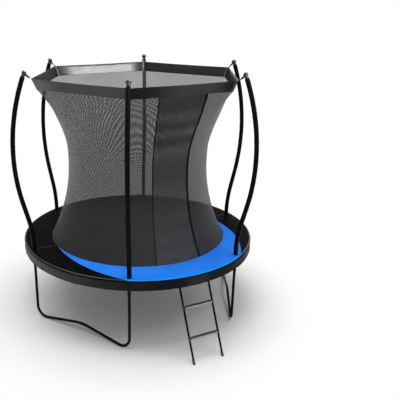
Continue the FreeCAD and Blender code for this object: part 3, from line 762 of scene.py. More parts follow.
springPlan = {
    "axis": 0.752, "radius": 0.0074, "wire": 0.0016, "coilStart": 1.040, "coilEnd": 1.172,
    "turns": 40, "steps": 8, "sides": 5, "together": 4,
    "outerHook": 1.186, "outerBend": 120.0, "outerSteps": 8,
    "innerHook": 1.02095, "innerBend": 200.0, "innerSteps": 12,
    "clothStep": (0.002, 0.004), "apart": 0.3,  # apart on the cloth, so that no two springs look the same
}


def springLine():
    # the outer hook, the coil inwards and the inner hook
    plan = springPlan
    points = []
    hook = Vector((plan["outerHook"], 0.0, plan["axis"]))
    for index in range(plan["outerSteps"] + 1):
        turn = math.radians(90.0 - plan["outerBend"] * (1.0 - index / plan["outerSteps"]))
        points.append(hook + spoke(ahead, upwards, turn) * plan["radius"])
    count = plan["turns"] * plan["steps"]
    for index in range(count + 1):
        reach = plan["coilEnd"] + (plan["coilStart"] - plan["coilEnd"]) * index / count
        turn = math.tau * index / plan["steps"] + math.pi / 2
        points.append(Vector((reach, 0.0, plan["axis"])) + spoke(sideways, upwards, turn) * plan["radius"])
    hook = Vector((plan["innerHook"], 0.0, plan["axis"]))
    for index in range(plan["innerSteps"] + 1):
        turn = math.radians(90.0 + plan["innerBend"] * index / plan["innerSteps"])
        points.append(hook + spoke(ahead, upwards, turn) * plan["radius"])
    return points


springRings = sweep(springLine(), springPlan["wire"], springPlan["sides"])
springSpacing = 360.0 / matPlan["springs"]
for group in range(matPlan["springs"] // springPlan["together"]):
    coils = []
    across, onward = springPlan["clothStep"]
    for index in range(springPlan["together"]):
        azimuth = polePlaces[0] + springSpacing * (group * springPlan["together"] + index + 0.5)
        coils.append(skin("coil", turnedRings(springRings, azimuth), "springWire", wrap=True, caps=True,
                          place=lambda i, j: (across * j, onward * i + springPlan["apart"] * azimuth)))
    springs = joined("springs%d" % (group + 1), coils)
    middle = polePlaces[0] + springSpacing * springPlan["together"] * (group + 0.5)
    spread = math.cos(math.radians(springSpacing * (springPlan["together"] - 1) / 2))
    spun(springPlan["coilEnd"] * spread, middle, springPlan["axis"])
    spun(springPlan["coilStart"], middle, springPlan["axis"])
    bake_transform(springs)
    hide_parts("springs")
print("springs are made")


# safety pad in six sectors, with its binding

padPlan = {
    "inner": 0.957, "outer": 1.258, "bottom": 0.7663, "thick": 0.018, "roll": 0.012, "lip": 0.005,
    "seam": 0.0004, "columns": 46,
    # points of a cross-section: on the lip, the flat, round the post, before the roll and on it
    "lipTurns": (0, 30, 60, 90), "flatStart": 0.012, "flatStep": 0.024, "flatPoints": 9, "postTurn": 20,
    "beforeRoll": (0.030, 0.020), "rollTurns": (0, 25, 45, 62, 78, 90),
    "edge": 0.10,  # share of the width over which the waves fade towards an edge
    # room for the post at a sector's corners, and the length over which the columns make way
    "post": 1.204, "notch": 0.0175, "ease": 0.06,
    # each height goes with the length over which a seam holds it down
    "crown": 0.005, "crownReach": 0.05, "crownPower": 0.7, "valley": 0.0025, "valleyReach": 0.007,
    "ripple": 0.0013, "rippleReach": 0.055, "rippleTurn": 210.0, "drift": (9.0, 3.0), "edgeKeep": 0.35,
    "dents": ((7.0, 3.0, 0.0016), (22.0, 5.0, 0.0007)),  # scale, seed and height
    "underside": 0.0004, "undersideRound": 0.0015, "tuck": 0.003, "tuckFrom": 0.97,
    "rows": (0.9705, 1.2375), "seamRows": 0.009, "threadLift": 0.0003,
}


def padStations():
    # radii of a cross-section's points, closer at the edges and round the post
    plan = padPlan
    flat = plan["inner"] + plan["flatStart"]
    radii = [plan["inner"] + plan["lip"] * (1.0 - math.cos(math.radians(turn))) for turn in plan["lipTurns"]]
    radii += [flat + plan["flatStep"] * index for index in range(plan["flatPoints"])]
    for turn in range(-90, 91, plan["postTurn"]):
        radii.append(plan["post"] + plan["notch"] * math.sin(math.radians(turn)))
    radii += [plan["outer"] - before for before in plan["beforeRoll"]]
    radii += [plan["outer"] - plan["roll"] * (1.0 - math.sin(math.radians(turn))) for turn in plan["rollTurns"]]
    return sorted(radii)


def padTop(radius):
    plan = padPlan
    fromOuter = max(0.0, radius - (plan["outer"] - plan["roll"])) / plan["roll"]
    fromInner = max(0.0, (plan["inner"] + plan["lip"]) - radius) / plan["lip"]
    drop = plan["roll"] * (1.0 - math.sqrt(max(0.0, 1.0 - fromOuter ** 2)))
    drop += plan["lip"] * (1.0 - math.sqrt(max(0.0, 1.0 - fromInner ** 2)))
    return plan["thick"] - drop


def padAcross(radius):
    # share of the way from the inner edge to the outer one, and 1 where neither edge is near
    across = (radius - padPlan["inner"]) / (padPlan["outer"] - padPlan["inner"])
    return across, min(1.0, min(across, 1.0 - across) / padPlan["edge"])


def padHeight(radius, azimuth, nearest):
    # the cover's top at a distance from the nearest seam
    plan = padPlan
    across, edgeFree = padAcross(radius)
    point = spun(radius, azimuth)
    swell = 1.0 - math.exp(-nearest / plan["crownReach"])
    scale, drift = plan["drift"]
    ripple = math.sin(radius * plan["rippleTurn"] + rough(point, scale) * drift)
    ripple *= plan["ripple"] * math.exp(-nearest / plan["rippleReach"])
    dents = sum(rough(point, scale, seed) * height for scale, seed, height in plan["dents"])
    rise = plan["crown"] * math.sin(math.pi * min(1.0, max(0.0, across))) ** plan["crownPower"] * swell
    rise += edgeFree * (dents + ripple)
    rise -= plan["valley"] * math.exp(-nearest / plan["valleyReach"])
    return plan["bottom"] + padTop(radius) + rise * min(1.0, edgeFree + plan["edgeKeep"])


def padRing(start, share, radii):
    # one cross-section of a sector: the cover's top outwards, then its underside back
    plan = padPlan
    top, under = [], []
    for radius in radii:
        length = math.radians(poleSpacing) * radius - 2 * plan["seam"]
        place = length * share
        nearest = min(place, length - place)
        cut = math.sqrt(max(0.0, plan["notch"] ** 2 - (radius - plan["post"]) ** 2))
        shift = cut * max(0.0, 1.0 - nearest / plan["ease"])
        place += shift if share < 0.5 else -shift
        azimuth = start + math.degrees((plan["seam"] + place) / radius)
        across, edgeFree = padAcross(radius)
        top.append(spun(radius, azimuth, padHeight(radius, azimuth, nearest)))
        tuck = plan["tuck"] * (max(0.0, across - plan["tuckFrom"]) / (1.0 - plan["tuckFrom"])) ** 2
        lift = plan["underside"] + plan["undersideRound"] * (1.0 - min(1.0, edgeFree * 3))
        under.append(spun(radius - tuck, azimuth, plan["bottom"] + lift))
    return top + under[::-1]


padShares = []
for column in range(padPlan["columns"] + 1):
    share = column / padPlan["columns"]
    padShares.append(0.5 - 0.5 * math.cos(math.pi * share) if 0 < column < padPlan["columns"] else share)
padRadii = padStations()
for number, start in enumerate(polePlaces):
    rings = [padRing(start, share, padRadii) for share in padShares]
    sector = skin("padSector%d" % (number + 1), rings, "padVinyl", wrap=True, caps=True, sharp=50.0)
    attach(sector, "frame")
    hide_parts("pad")
print("pad is made")

binding = {"radius": 1.2555, "height": 0.7682, "size": 0.0030, "sides": 8, "spokes": 360}
bindingRings = []
for point in circle(binding["radius"], binding["height"], binding["spokes"])[:-1]:
    turns = [math.tau * side / binding["sides"] for side in range(binding["sides"])]
    bindingRings.append([point + spoke(outwards(point), upwards, turn) * binding["size"] for turn in turns])
padBinding = skin("padBinding", bindingRings, "padVinyl", wrap=True, loop=True)
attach(padBinding, "frame")

# a welt runs over each seam, from the inner edge to the post and from there to the rim
welt = {
    "half": 0.0034, "rise": 0.0022, "depth": 0.0015, "foot": 0.9, "spacing": 0.006,
    "ends": ((0.9600, 1.1840), (1.2240, 1.2560)),
}


def weltRing(radius, pole):
    # half round above the cover, flat below it
    middle = spun(radius, pole, padHeight(radius, pole, welt["half"]))
    side = spun(1.0, pole + 90.0) * welt["half"]
    ring = [middle + spoke(side, upwards * welt["rise"], math.radians(turn)) for turn in range(0, 181, 30)]
    low, foot = middle - upwards * welt["depth"], side * welt["foot"]
    return ring + [low - foot, low, low + foot]


def threadPoint(radius, azimuth, nearest):
    return spun(radius, azimuth, padHeight(radius, azimuth, nearest) + padPlan["threadLift"])


weltParts, seamLines = [], []
for pole in polePlaces:
    for low, high in welt["ends"]:
        count = round((high - low) / welt["spacing"])
        radii = [low + (high - low) * index / count for index in range(count + 1)]
        rings = [weltRing(radius, pole) for radius in radii]
        weltParts.append(skin("welt", rings, "weltVinyl", wrap=True, caps=True))
        for offset in (-padPlan["seamRows"], padPlan["seamRows"]):
            seamLines.append([threadPoint(radius, pole + math.degrees(offset / radius), abs(offset))
                              for radius in radii])
padWelts = joined("padWelts", weltParts)
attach(padWelts, "frame")
for radius in padPlan["rows"]:
    for start in polePlaces:
        line = []
        for index in range(1, 120):
            turn = poleSpacing * index / 120
            nearest = math.radians(min(turn, poleSpacing - turn)) * radius
            line.append(threadPoint(radius, start + turn, nearest))
        seamLines.append(line)
padStitches = joined("padStitches", [stitches("seamRow", line, look="padThread") for line in seamLines])
padStitches.parent = padWelts
print("pad's seams are made")


# skirt under the pad

skirtPlan = {
    "radius": 1.2562, "top": 0.7655, "bottom": 0.6742, "spokes": 720,
    "wave": 0.0035, "waves": ((9.0, 11.0, 1.0), (23.0, 17.0, 0.5)),  # scale, seed and share of each wave
    "calm": 16.0, "calmFrom": 0.6, "calmShare": 0.35,  # calmer beside the ladder
    "pinch": 0.0008, "pinchReach": 0.008, "tuck": 0.0035, "tuckShare": 0.12,
    "hem": 0.012, "hemFrom": 0.85, "hemOut": 0.0010, "hemThick": 0.0016,
    "shares": (0.0, 0.04, 0.08, 0.12, 0.22, 0.34, 0.46, 0.58, 0.70, 0.80, 0.845, 0.855, 0.93, 1.0),
    "seamLift": 0.0018, "seamSteps": 40,
}


def skirtPoint(azimuth, share):
    plan = skirtPlan
    height = plan["top"] + (plan["bottom"] - plan["top"]) * share
    free = min(1.0, max(0.0, awayFrom(azimuth, doorPlace) / plan["calm"] - plan["calmFrom"]))
    place = spun(1.0, azimuth)
    wave = sum(rough(place, scale, seed) * part for scale, seed, part in plan["waves"])
    toSeam = math.radians(awayFrom(azimuth, polePlaces[0], poleSpacing)) * plan["radius"]
    pinch = plan["pinch"] * math.exp(-toSeam / plan["pinchReach"])
    swing = plan["wave"] * share * (wave * free + plan["calmShare"] * abs(wave) * (1.0 - free))
    tuck = plan["tuck"] * max(0.0, 1.0 - share / plan["tuckShare"])
    return spun(plan["radius"] + swing - tuck + pinch, azimuth, height)


skirtRings = []
for turn in range(skirtPlan["spokes"]):
    azimuth = 360.0 * turn / skirtPlan["spokes"]
    column = []
    for share in skirtPlan["shares"]:
        point = skirtPoint(azimuth, share)
        out = skirtPlan["hemOut"] if share > skirtPlan["hemFrom"] else 0.0
        column.append(point + outwards(point) * out)
    turned = column[-1] - outwards(column[-1]) * skirtPlan["hemThick"]
    column += [turned, turned + upwards * skirtPlan["hem"]]
    skirtRings.append(column)
skirtDrop = lengthsAlong(skirtRings[0])
padSkirt = skin("padSkirt", skirtRings, "skirtCloth", loop=True,
                place=lambda i, j: (i * math.tau * skirtPlan["radius"] / skirtPlan["spokes"], skirtDrop[j]))
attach(padSkirt, "frame")
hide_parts("pad_skirt")
skirtSeams = []
for pole in polePlaces:
    shares = [index / skirtPlan["seamSteps"] for index in range(skirtPlan["seamSteps"] + 1)]
    line = [skirtPoint(pole, share) + spun(skirtPlan["seamLift"], pole) for share in shares]
    skirtSeams.append(stitches("skirtSeam", line, spun(1.0, pole)))
skirtRow = joined("skirtStitches", skirtSeams)
skirtRow.parent = padSkirt
print("skirt is made")


# poles in their foam sleeves

sleevePlan = {
    "radius": 0.023, "bore": 0.0131, "start": 0.7850, "post": 1.204, "sides": 28, "spacing": 0.009,
    "boreSkip": 3, "boreStep": 0.01,  # the bore needs only every third row
    "steps": [(0.0350, 0), (1.250, 14.4), (0.174, 0), (2.000, -36.4), (0.0052, 0)],
    "ridge": 0.0012, "ridgeWidth": 0.14,  # the sewn ridge faces inwards
    "creases": ((0.06, 34.0, 0.0006), (0.1, 9.0, 0.0008)),  # reach, scale and height
    "gather": 0.022, "end": 0.0045, "pleats": 9, "pleat": 0.0008,
    "seed": 10.0, "apart": 3.0,  # so that no two sleeves crease the same way
}


def sleeveRings(azimuth, seed):
    # up the outside of a sleeve and down its bore
    plan = sleevePlan
    points, turns = along(Vector((plan["post"], 0.0, plan["start"])), 0.0, plan["steps"], plan["spacing"])
    lengths = lengthsAlong(points)
    total = lengths[-1]
    angles = [math.tau * corner / plan["sides"] for corner in range(plan["sides"])]
    rings = []
    for point, turn, length in zip(points, turns, lengths):
        outward = heading(turn + 90.0)
        gather = max(0.0, 1.0 - min(length, total - length) / plan["gather"])
        ring = []
        for angle in angles:
            arm = spoke(outward, sideways, angle)
            crease = sum(rough(point + arm * reach, scale, seed) * height
                         for reach, scale, height in plan["creases"])
            ridge = plan["ridge"] * math.exp(-((angle - math.pi) / plan["ridgeWidth"]) ** 2)
            pleat = math.cos(angle * plan["pleats"]) * plan["pleat"] * gather
            ring.append(point + arm * (plan["radius"] - plan["end"] * gather ** 3 + crease + ridge + pleat))
        rings.append(ring)
    for index in [*range(len(points) - 1, 0, -plan["boreSkip"]), 0]:
        outward = heading(turns[index] + 90.0)
        rings.append([points[index] + spoke(outward, sideways, angle) * plan["bore"] for angle in angles])
    lengths += [total + plan["boreStep"] * (index + 1) for index in range(len(rings) - len(points) + 1)]
    return turnedRings(rings, azimuth), lengths


for number, azimuth in enumerate(polePlaces):
    rings, lengths = sleeveRings(azimuth, sleevePlan["seed"] * number)
    around = math.tau * sleevePlan["radius"] / sleevePlan["sides"]
    sleeve = skin("poleSleeve%d" % (number + 1), rings, "sleeveVinyl", wrap=True, loop=True, sharp=60.0,
                  place=lambda i, j: (j * around + sleevePlan["apart"] * azimuth, lengths[i]))
    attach(sleeve, "frame")
    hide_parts("pole_sleeves")
print("sleeves are made")


# safety net

netPlan = {
    "bottom": 0.784, "top": 2.424, "rows": 60, "degreesPerColumn": 2.5,
    # a waist on a round curve, a flare above it, and corners that grow towards the band
    "waist": 0.741, "waistHeight": 1.620, "curve": 1.750, "flareStart": 1.800, "flareEnd": 2.418,
    "flare": 0.138, "flarePower": 1.5, "cornerStart": 1.850, "cornerPower": 2.9,
    # heights and a radius near the net's foot by the mat
    "blendTop": 0.885, "blendLow": 0.795, "blendRadius": 0.95,
}
netPanels = [
    ("netDoor", -75.0, -30.0, 0.0, "net_panel_door"),
    ("netDoorEdge", -30.0, -15.0, 0.0, "net_panel_door_edge"),
    ("netRight", -15.0, 45.0, 0.0, "net_panel_right"),
    ("netRightBack", 45.0, 105.0, 0.0, "net_panel_right_back"),
    ("netLeftBack", 105.0, 165.0, 0.0, "net_panel_left_back"),
    ("netLeft", 165.0, 225.0, 0.0, "net_panel_left"),
    ("netLeftFront", 225.0, 285.0, 0.0, "net_panel_left_front"),
    ("netFlap", -60.0, -30.0, -0.0024, "net_door_flap"),
]


def netRadius(azimuth, height):
    plan = netPlan
    below = plan["waistHeight"] - height
    radius = plan["waist"] + plan["curve"] - math.sqrt(plan["curve"] ** 2 - below ** 2)
    flareSpan = plan["flareEnd"] - plan["flareStart"]
    radius += plan["flare"] * (max(0.0, height - plan["flareStart"]) / flareSpan) ** plan["flarePower"]
    corner = max(0.0, height - plan["cornerStart"]) / (plan["flareEnd"] - plan["cornerStart"])
    side = straightSide(awayFrom(azimuth, doorPlace, poleSpacing))
    return radius * (1.0 - min(1.0, corner) ** plan["cornerPower"] * (1.0 - side))


def netPoint(azimuth, height, offset=0.0):
    return spun(netRadius(azimuth, height) + offset, azimuth, height)


def netHeight(share):
    return netPlan["bottom"] + (netPlan["top"] - netPlan["bottom"]) * share


netHeights = [netHeight(row / netPlan["rows"]) for row in range(netPlan["rows"] + 1)]


def netSurface(name, start, end, offset, look):
    # a panel, with its greatest width and height measured on the surface
    columns = max(2, round(abs(end - start) / netPlan["degreesPerColumn"]))
    middle = columns // 2
    azimuths = [start + (end - start) * column / columns for column in range(columns + 1)]
    rings = [[netPoint(azimuth, height, offset) for azimuth in azimuths] for height in netHeights]
    climbs = lengthsAlong([ring[middle] for ring in rings])
    places = []
    for ring, climb in zip(rings, climbs):
        widths = lengthsAlong(ring)
        places.append([(width - widths[middle], climb) for width in widths])
    piece = skin(name, rings, look, place=lambda i, j: places[i][j])
    widest = max(row[-1][0] - row[0][0] for row in places)
    return piece, widest, climbs[-1]


def hangNet(piece, node=None):
    lip = spun(netPlan["blendRadius"], doorPlace)
    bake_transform(piece)
    if node:
        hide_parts(node)


for name, start, end, offset, node in netPanels:
    panel, widest, tall = netSurface(name, start, end, offset, "flapMesh" if name == "netFlap" else "netMesh")
    area = sum(face.area for face in panel.data.polygons)
    hangNet(panel, node)
    min(area, widest * tall)
print("net is made")

seamPlan = {"place": -60.0, "width": 0.011, "offset": 0.0014}
zipPlan = {
    "place": -30.0, "width": 0.026, "offset": 0.00235,
    "tooth": 0.0060, "fill": 0.30, "rise": 0.0011, "half": 0.0026, "stagger": 0.0012, "reach": 0.005,
}


def ribbonOnNet(name, plan, look):
    side = spun(1.0, plan["place"] + 90.0) * plan["width"] / 2
    rings = []
    for height in netHeights:
        middle = netPoint(plan["place"], height, plan["offset"])
        rings.append([middle + side * share for share in (-1.0, -0.4, 0.4, 1.0)])
    climb = lengthsAlong([ring[0] for ring in rings])
    return skin(name, rings, look, place=lambda i, j: (plan["width"] * j / 3, climb[i])), climb[-1]


seam, seamLength = ribbonOnNet("doorSeam", seamPlan, "seamCloth")
hangNet(seam)

zipTape, tapeLength = ribbonOnNet("zipTape", zipPlan, "zipCloth")
hangNet(zipTape, "zip_tape")

boxFaces = ((0, 3, 2, 1), (4, 5, 6, 7), (0, 1, 5, 4), (1, 2, 6, 5), (2, 3, 7, 6), (3, 0, 4, 7))
outward, side = spun(1.0, zipPlan["place"]), spun(1.0, zipPlan["place"] + 90.0)
count = int(tapeLength / zipPlan["tooth"])
toothPoints, toothFaces = [], []
for tooth in range(count):
    height = netHeight((tooth + 0.5) / count)
    above, below = (netPoint(zipPlan["place"], height + zipPlan["reach"] * way) for way in (1.0, -1.0))
    up = (above - below).normalized()
    middle = netPoint(zipPlan["place"], height, zipPlan["offset"] + zipPlan["rise"] / 2)
    middle = middle + side * (zipPlan["stagger"] if tooth % 2 else -zipPlan["stagger"])
    base = len(toothPoints)
    for depth in (-0.5, 0.5):
        for across, rise in ((-1, -1), (1, -1), (1, 1), (-1, 1)):
            toothPoints.append(middle + outward * depth * zipPlan["rise"] + side * across * zipPlan["half"]
                               + up * rise * zipPlan["tooth"] * zipPlan["fill"])
    toothFaces += [tuple(base + k for k in face) for face in boxFaces]
zipTeeth = newPiece("zipTeeth", toothPoints, toothFaces, looks["toothPlastic"])
toothLayer = zipTeeth.data.uv_layers.new(name="cloth")
for entry, corner in zip(toothLayer.data, zipTeeth.data.loops):
    point = toothPoints[corner.vertex_index]
    entry.uv = (point.x + point.y, point.z)
hangNet(zipTeeth)
print("zip is made")

hemPlan = {
    "radius": 0.9530, "bottom": 0.7536, "top": 0.7850, "spokes": 360,
    "gather": 0.0006, "gatherScale": 26.0, "gatherSeed": 31.0,
    "belly": 0.0009, "thick": 0.0018, "turned": 0.012, "shares": (0.0, 0.12, 0.3, 0.5, 0.7, 0.88, 1.0),
}
hemRings = []
for turn in range(hemPlan["spokes"]):
    azimuth = 360.0 * turn / hemPlan["spokes"]
    gather = rough(spun(1.0, azimuth), hemPlan["gatherScale"], hemPlan["gatherSeed"]) * hemPlan["gather"]
    column = []
    for share in hemPlan["shares"]:
        belly = hemPlan["belly"] * math.sin(math.pi * share)
        height = hemPlan["bottom"] + (hemPlan["top"] - hemPlan["bottom"]) * share
        column.append(spun(hemPlan["radius"] + belly + gather, azimuth, height))
    column.append(column[-1] - spun(hemPlan["thick"], azimuth))
    column.append(column[-1] - upwards * hemPlan["turned"])
    hemRings.append(column)
hemDrop = lengthsAlong(hemRings[0])
netHem = skin("netHem", hemRings, "webbing", loop=True,
              place=lambda i, j: (i * math.tau * hemPlan["radius"] / hemPlan["spokes"], hemDrop[j]))
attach(netHem, "mat")
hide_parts("net_hem")
print("hem is made")


# band round the net's top, and the straps that hold it

bandPlan = {
    "bottom": 2.4182, "height": 0.1056, "low": 1.0782, "high": 1.1282, "length": 6.62, "columns": 72,
    "round": 0.0045, "corner": 1.1, "sag": 0.004, "slack": 0.0018,
    # folds: scale, seed and height, how the small ones drift upwards, and what is left at the edges
    "wrinkle": (5.0, 41.0, 0.003), "crinkle": (14.0, 43.0, 0.0012), "crinkleDrift": 0.4, "edgeShare": 0.3,
    "crowding": 0.35,  # how far the columns crowd towards the corners
    "shares": (0.0, 0.01, 0.03, 0.08, 0.130, 0.135, 0.145, 0.150, 0.25, 0.38, 0.5, 0.62, 0.75,
               0.850, 0.855, 0.865, 0.870, 0.92, 0.97, 0.99, 1.0),
    # its two hems: where they end, how much they stand out, and how far inside their turned edges lie
    "hems": (0.14, 0.86), "hemOut": 0.0005, "threadOut": 0.0010,
    "turnedIn": 0.0022, "turnedLow": (0.15, 0.03), "turnedHigh": (0.97, 0.85),
}


def bandRadius(share):
    return bandPlan["low"] + (bandPlan["high"] - bandPlan["low"]) * share


def bandPoint(azimuth, share, inside=0.0):
    plan = bandPlan
    fromCorner = awayFrom(azimuth, polePlaces[0], poleSpacing)
    side = straightSide(poleSpacing / 2 - fromCorner)
    loose = math.sin(math.pi * fromCorner / poleSpacing)
    belly = math.sin(math.pi * share)
    point = spun(1.0, azimuth)
    scale, seed, depth = plan["wrinkle"]
    fold = rough(point, scale, seed) * depth * loose
    scale, seed, depth = plan["crinkle"]
    fold += rough(point + upwards * share * plan["crinkleDrift"], scale, seed) * depth
    fold *= plan["edgeShare"] + (1.0 - plan["edgeShare"]) * belly
    radius = bandRadius(share) * side - plan["round"] * math.exp(-(fromCorner / plan["corner"]) ** 2)
    radius -= plan["slack"] * loose * belly + inside
    height = plan["bottom"] + plan["height"] * share - plan["sag"] * loose * share
    return spun(radius + fold, azimuth, height)


bandTurns = []
for pole in polePlaces:
    for step in range(bandPlan["columns"]):
        share = step / bandPlan["columns"]
        crowded = share - bandPlan["crowding"] * math.sin(math.tau * share) / math.tau
        bandTurns.append(pole + poleSpacing * crowded)
bandRings = []
for azimuth in bandTurns:
    column = [bandPoint(azimuth, share, bandPlan["turnedIn"]) for share in bandPlan["turnedLow"]]
    for share in bandPlan["shares"]:
        onHem = share < bandPlan["hems"][0] or share > bandPlan["hems"][1]
        column.append(bandPoint(azimuth, share, -bandPlan["hemOut"] if onHem else 0.0))
    column += [bandPoint(azimuth, share, bandPlan["turnedIn"]) for share in bandPlan["turnedHigh"]]
    bandRings.append(column)
bandDrop = lengthsAlong(bandRings[0])
bandStep = bandPlan["length"] / len(bandRings)
netBand = skin("netBand", bandRings, "bandVinyl", loop=True, sharp=40.0,
               place=lambda i, j: (i * bandStep, bandDrop[j]))
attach(netBand, "frame")
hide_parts("net_band")
for number, share in enumerate(bandPlan["hems"]):
    line = [bandPoint(azimuth, share, -bandPlan["threadOut"]) for azimuth in bandTurns + bandTurns[:1]]
    row = stitches("bandStitches%d" % (number + 1), line, outwards)
    row.parent = netBand
print("band is made")

strapPlan = {
    "width": 0.020, "thick": 0.0028, "across": (-1.0, -0.6, 0.0, 0.6, 1.0),
    # from the collar to the band's top, as radius and height; it twists over this part of the way
    "start": (1.1769, 2.5639), "top": (1.1262, 2.5262), "twist": (0.35, 0.95), "steps": 14,
    "collar": (1.19368, 2.57068), "lean": -22.0, "bore": 0.0173, "wall": 0.0016,
    "loop": 0.018, "loopSides": 36, "loopRound": 0.93,
    # down the band, outside it and inside it
    "shares": (0.985, 0.94, 0.85, 0.70, 0.55, 0.40, 0.25, 0.12, 0.03), "outside": 0.0026, "inside": -0.0012,
    "aside": -1.1, "fold": 0.7, "clothStep": (0.004, 0.008), "loopStep": (0.006, 0.0033),
}


def strapRing(over, under):
    # the upper side across, then the lower side back
    across = strapPlan["across"]
    return [over(place) for place in across] + [under(place) for place in across[::-1]]


def strapTail():
    # from the collar to the band's top: on edge at the pole, flat at the band
    plan = strapPlan
    start, end = (Vector((plan[key][0], 0.0, plan[key][1])) for key in ("start", "top"))
    onward = (end - start).normalized()
    upright = heading(plan["lean"])
    upright = (upright - onward * upright.dot(onward)).normalized()
    low, high = plan["twist"]
    rings = []
    for step in range(plan["steps"] + 1):
        share = step / plan["steps"]
        turn = min(1.0, max(0.0, (share - low) / (high - low)))
        turn = math.pi / 2 * turn * turn * (3.0 - 2.0 * turn)
        across = spoke(upright, sideways, turn) * plan["width"] / 2
        normal = onward.cross(across.normalized()) * plan["thick"] / 2
        middle = start.lerp(end, share)
        rings.append(strapRing(lambda place: middle + across * place + normal,
                               lambda place: middle + across * place - normal))
    return rings


def strapLeg(azimuth, side):
    # down one face of the band, folded over its corner
    plan = strapPlan
    low, high = sorted((plan[side], plan[side] + math.copysign(plan["thick"] * plan["fold"], plan[side])))
    rings = []
    for share in plan["shares"]:
        spread = math.degrees(plan["width"] / 2 / bandRadius(share))
        rings.append(strapRing(lambda place: bandPoint(azimuth + spread * place, share, high),
                               lambda place: bandPoint(azimuth + spread * place, share, low)))
    return rings


def collarRings():
    # the strap's loop round the cap's collar
    plan = strapPlan
    centre = Vector((plan["collar"][0], 0.0, plan["collar"][1]))
    half, outward = heading(plan["lean"]) * plan["loop"] / 2, heading(plan["lean"] + 90.0)
    corners = [(plan["bore"], -1.0), (plan["bore"] + plan["wall"], -plan["loopRound"]),
               (plan["bore"] + plan["wall"], plan["loopRound"]), (plan["bore"], 1.0)]
    rings = []
    for step in range(plan["loopSides"]):
        arm = spoke(outward, sideways, math.tau * step / plan["loopSides"])
        rings.append([centre + arm * reach + half * rise for reach, rise in corners])
    return rings


tail, collar = strapTail(), collarRings()
for number, azimuth in enumerate(polePlaces):
    outer = turnedRings(tail, azimuth) + strapLeg(azimuth, "outside")
    inner = turnedRings(tail[-1:], azimuth) + strapLeg(azimuth + strapPlan["aside"], "inside")
    across, onward = strapPlan["clothStep"]
    legs = [skin("leg", rings, "strapWebbing", wrap=True, caps=True, sharp=50.0,
                 place=lambda i, j: (across * j, onward * i)) for rings in (outer, inner)]
    strap = joined("netStrap%d" % (number + 1), legs)
    across, onward = strapPlan["loopStep"]
    loop = skin("strapLoop%d" % (number + 1), turnedRings(collar, azimuth), "strapWebbing", wrap=True,
                loop=True, sharp=50.0, place=lambda i, j: (across * j, onward * i))
    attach(strap, "frame")
    loop.parent = strap
    loop.matrix_parent_inverse = strap.matrix_world.inverted()
    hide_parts("net_straps")
print("straps are made")


# ladder treads with their pale lips

treadPlan = {
    "heights": (0.220, 0.490), "hinge": 1.1933, "ring": 0.746, "lean": 24.5, "half": 0.1459,
    "depth": 0.045, "thick": 0.014, "round": 0.0056, "bore": (0.0180, 0.0055), "ridges": 5, "ridge": 0.0009,
    "corners": 72, "endBand": 0.001, "clothStep": 0.0016,
    # outline of the lip, from the tread's front edge and middle height
    "lip": ((-0.0030, 0.0070), (-0.0006, 0.0052), (0.0009, 0.0020), (0.0009, -0.0030),
            (-0.0002, -0.0045), (-0.0010, -0.0030), (-0.0010, 0.0020), (-0.0030, 0.0050)),
}


def boxOutline(halfX, halfZ):
    # where rays from the middle meet a box
    outline = []
    for index in range(treadPlan["corners"]):
        turn = math.tau * index / treadPlan["corners"]
        x, z = math.cos(turn), math.sin(turn)
        stretch = min(halfX / max(abs(x), 1e-6), halfZ / max(abs(z), 1e-6))
        outline.append((x * stretch, z * stretch))
    return outline


def treadOutline():
    # rounded outline of a tread's end, with ridges along its top
    plan = treadPlan
    half, tall, bend = plan["depth"] / 2, plan["thick"] / 2, plan["round"]
    corner = Vector((half - bend, tall - bend))
    outline = []
    for x, z in boxOutline(half, tall):
        nearX, nearZ = half - abs(x), tall - abs(z)
        if nearX < bend and nearZ < bend:
            rounded = corner + (Vector((abs(x), abs(z))) - corner).normalized() * bend
            x, z = math.copysign(rounded.x, x), math.copysign(rounded.y, z)
        elif z > 0 and nearX > bend:
            wave = math.cos(math.pi * plan["ridges"] * (x + half - bend) / (half - bend))
            z -= plan["ridge"] * (0.5 - 0.5 * wave)
        outline.append((x, z))
    return outline


def outlineRings(outline, out, height, stations):
    # the outline at each station across the ladder, turned to face the door
    rings = [[Vector((out + x, y, height + z)) for x, z in outline] for y in stations]
    return turnedRings(rings, doorPlace)


half = treadPlan["half"]
nearEnd = half - treadPlan["endBand"]
stations = [-half, -nearEnd, -half * 0.5, 0.0, half * 0.5, nearEnd, half]
places = stations + stations[::-1]
outer, bore = treadOutline(), boxOutline(*treadPlan["bore"])
for label, height in zip(("Lower", "Upper"), treadPlan["heights"]):
    out = treadPlan["hinge"] + (treadPlan["ring"] - height) * math.tan(math.radians(treadPlan["lean"]))
    rings = outlineRings(outer, out, height, stations) + outlineRings(bore, out, height, stations[::-1])
    step = skin("tread" + label, rings, "treadPaint", wrap=True, loop=True, sharp=35.0,
                place=lambda i, j: (places[i % len(places)], treadPlan["clothStep"] * j))
    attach(step, "ladder")
    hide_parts("ladder_step_" + label.lower())
    rings = outlineRings(treadPlan["lip"], out + treadPlan["depth"] / 2, height, stations)
    lip = skin("treadLip" + label, rings, "lipPlastic", wrap=True, caps=True, sharp=50.0)
    lip.parent = step
    lip.matrix_parent_inverse = step.matrix_world.inverted()
print("treads are made")


# finishes of the carried-over parts

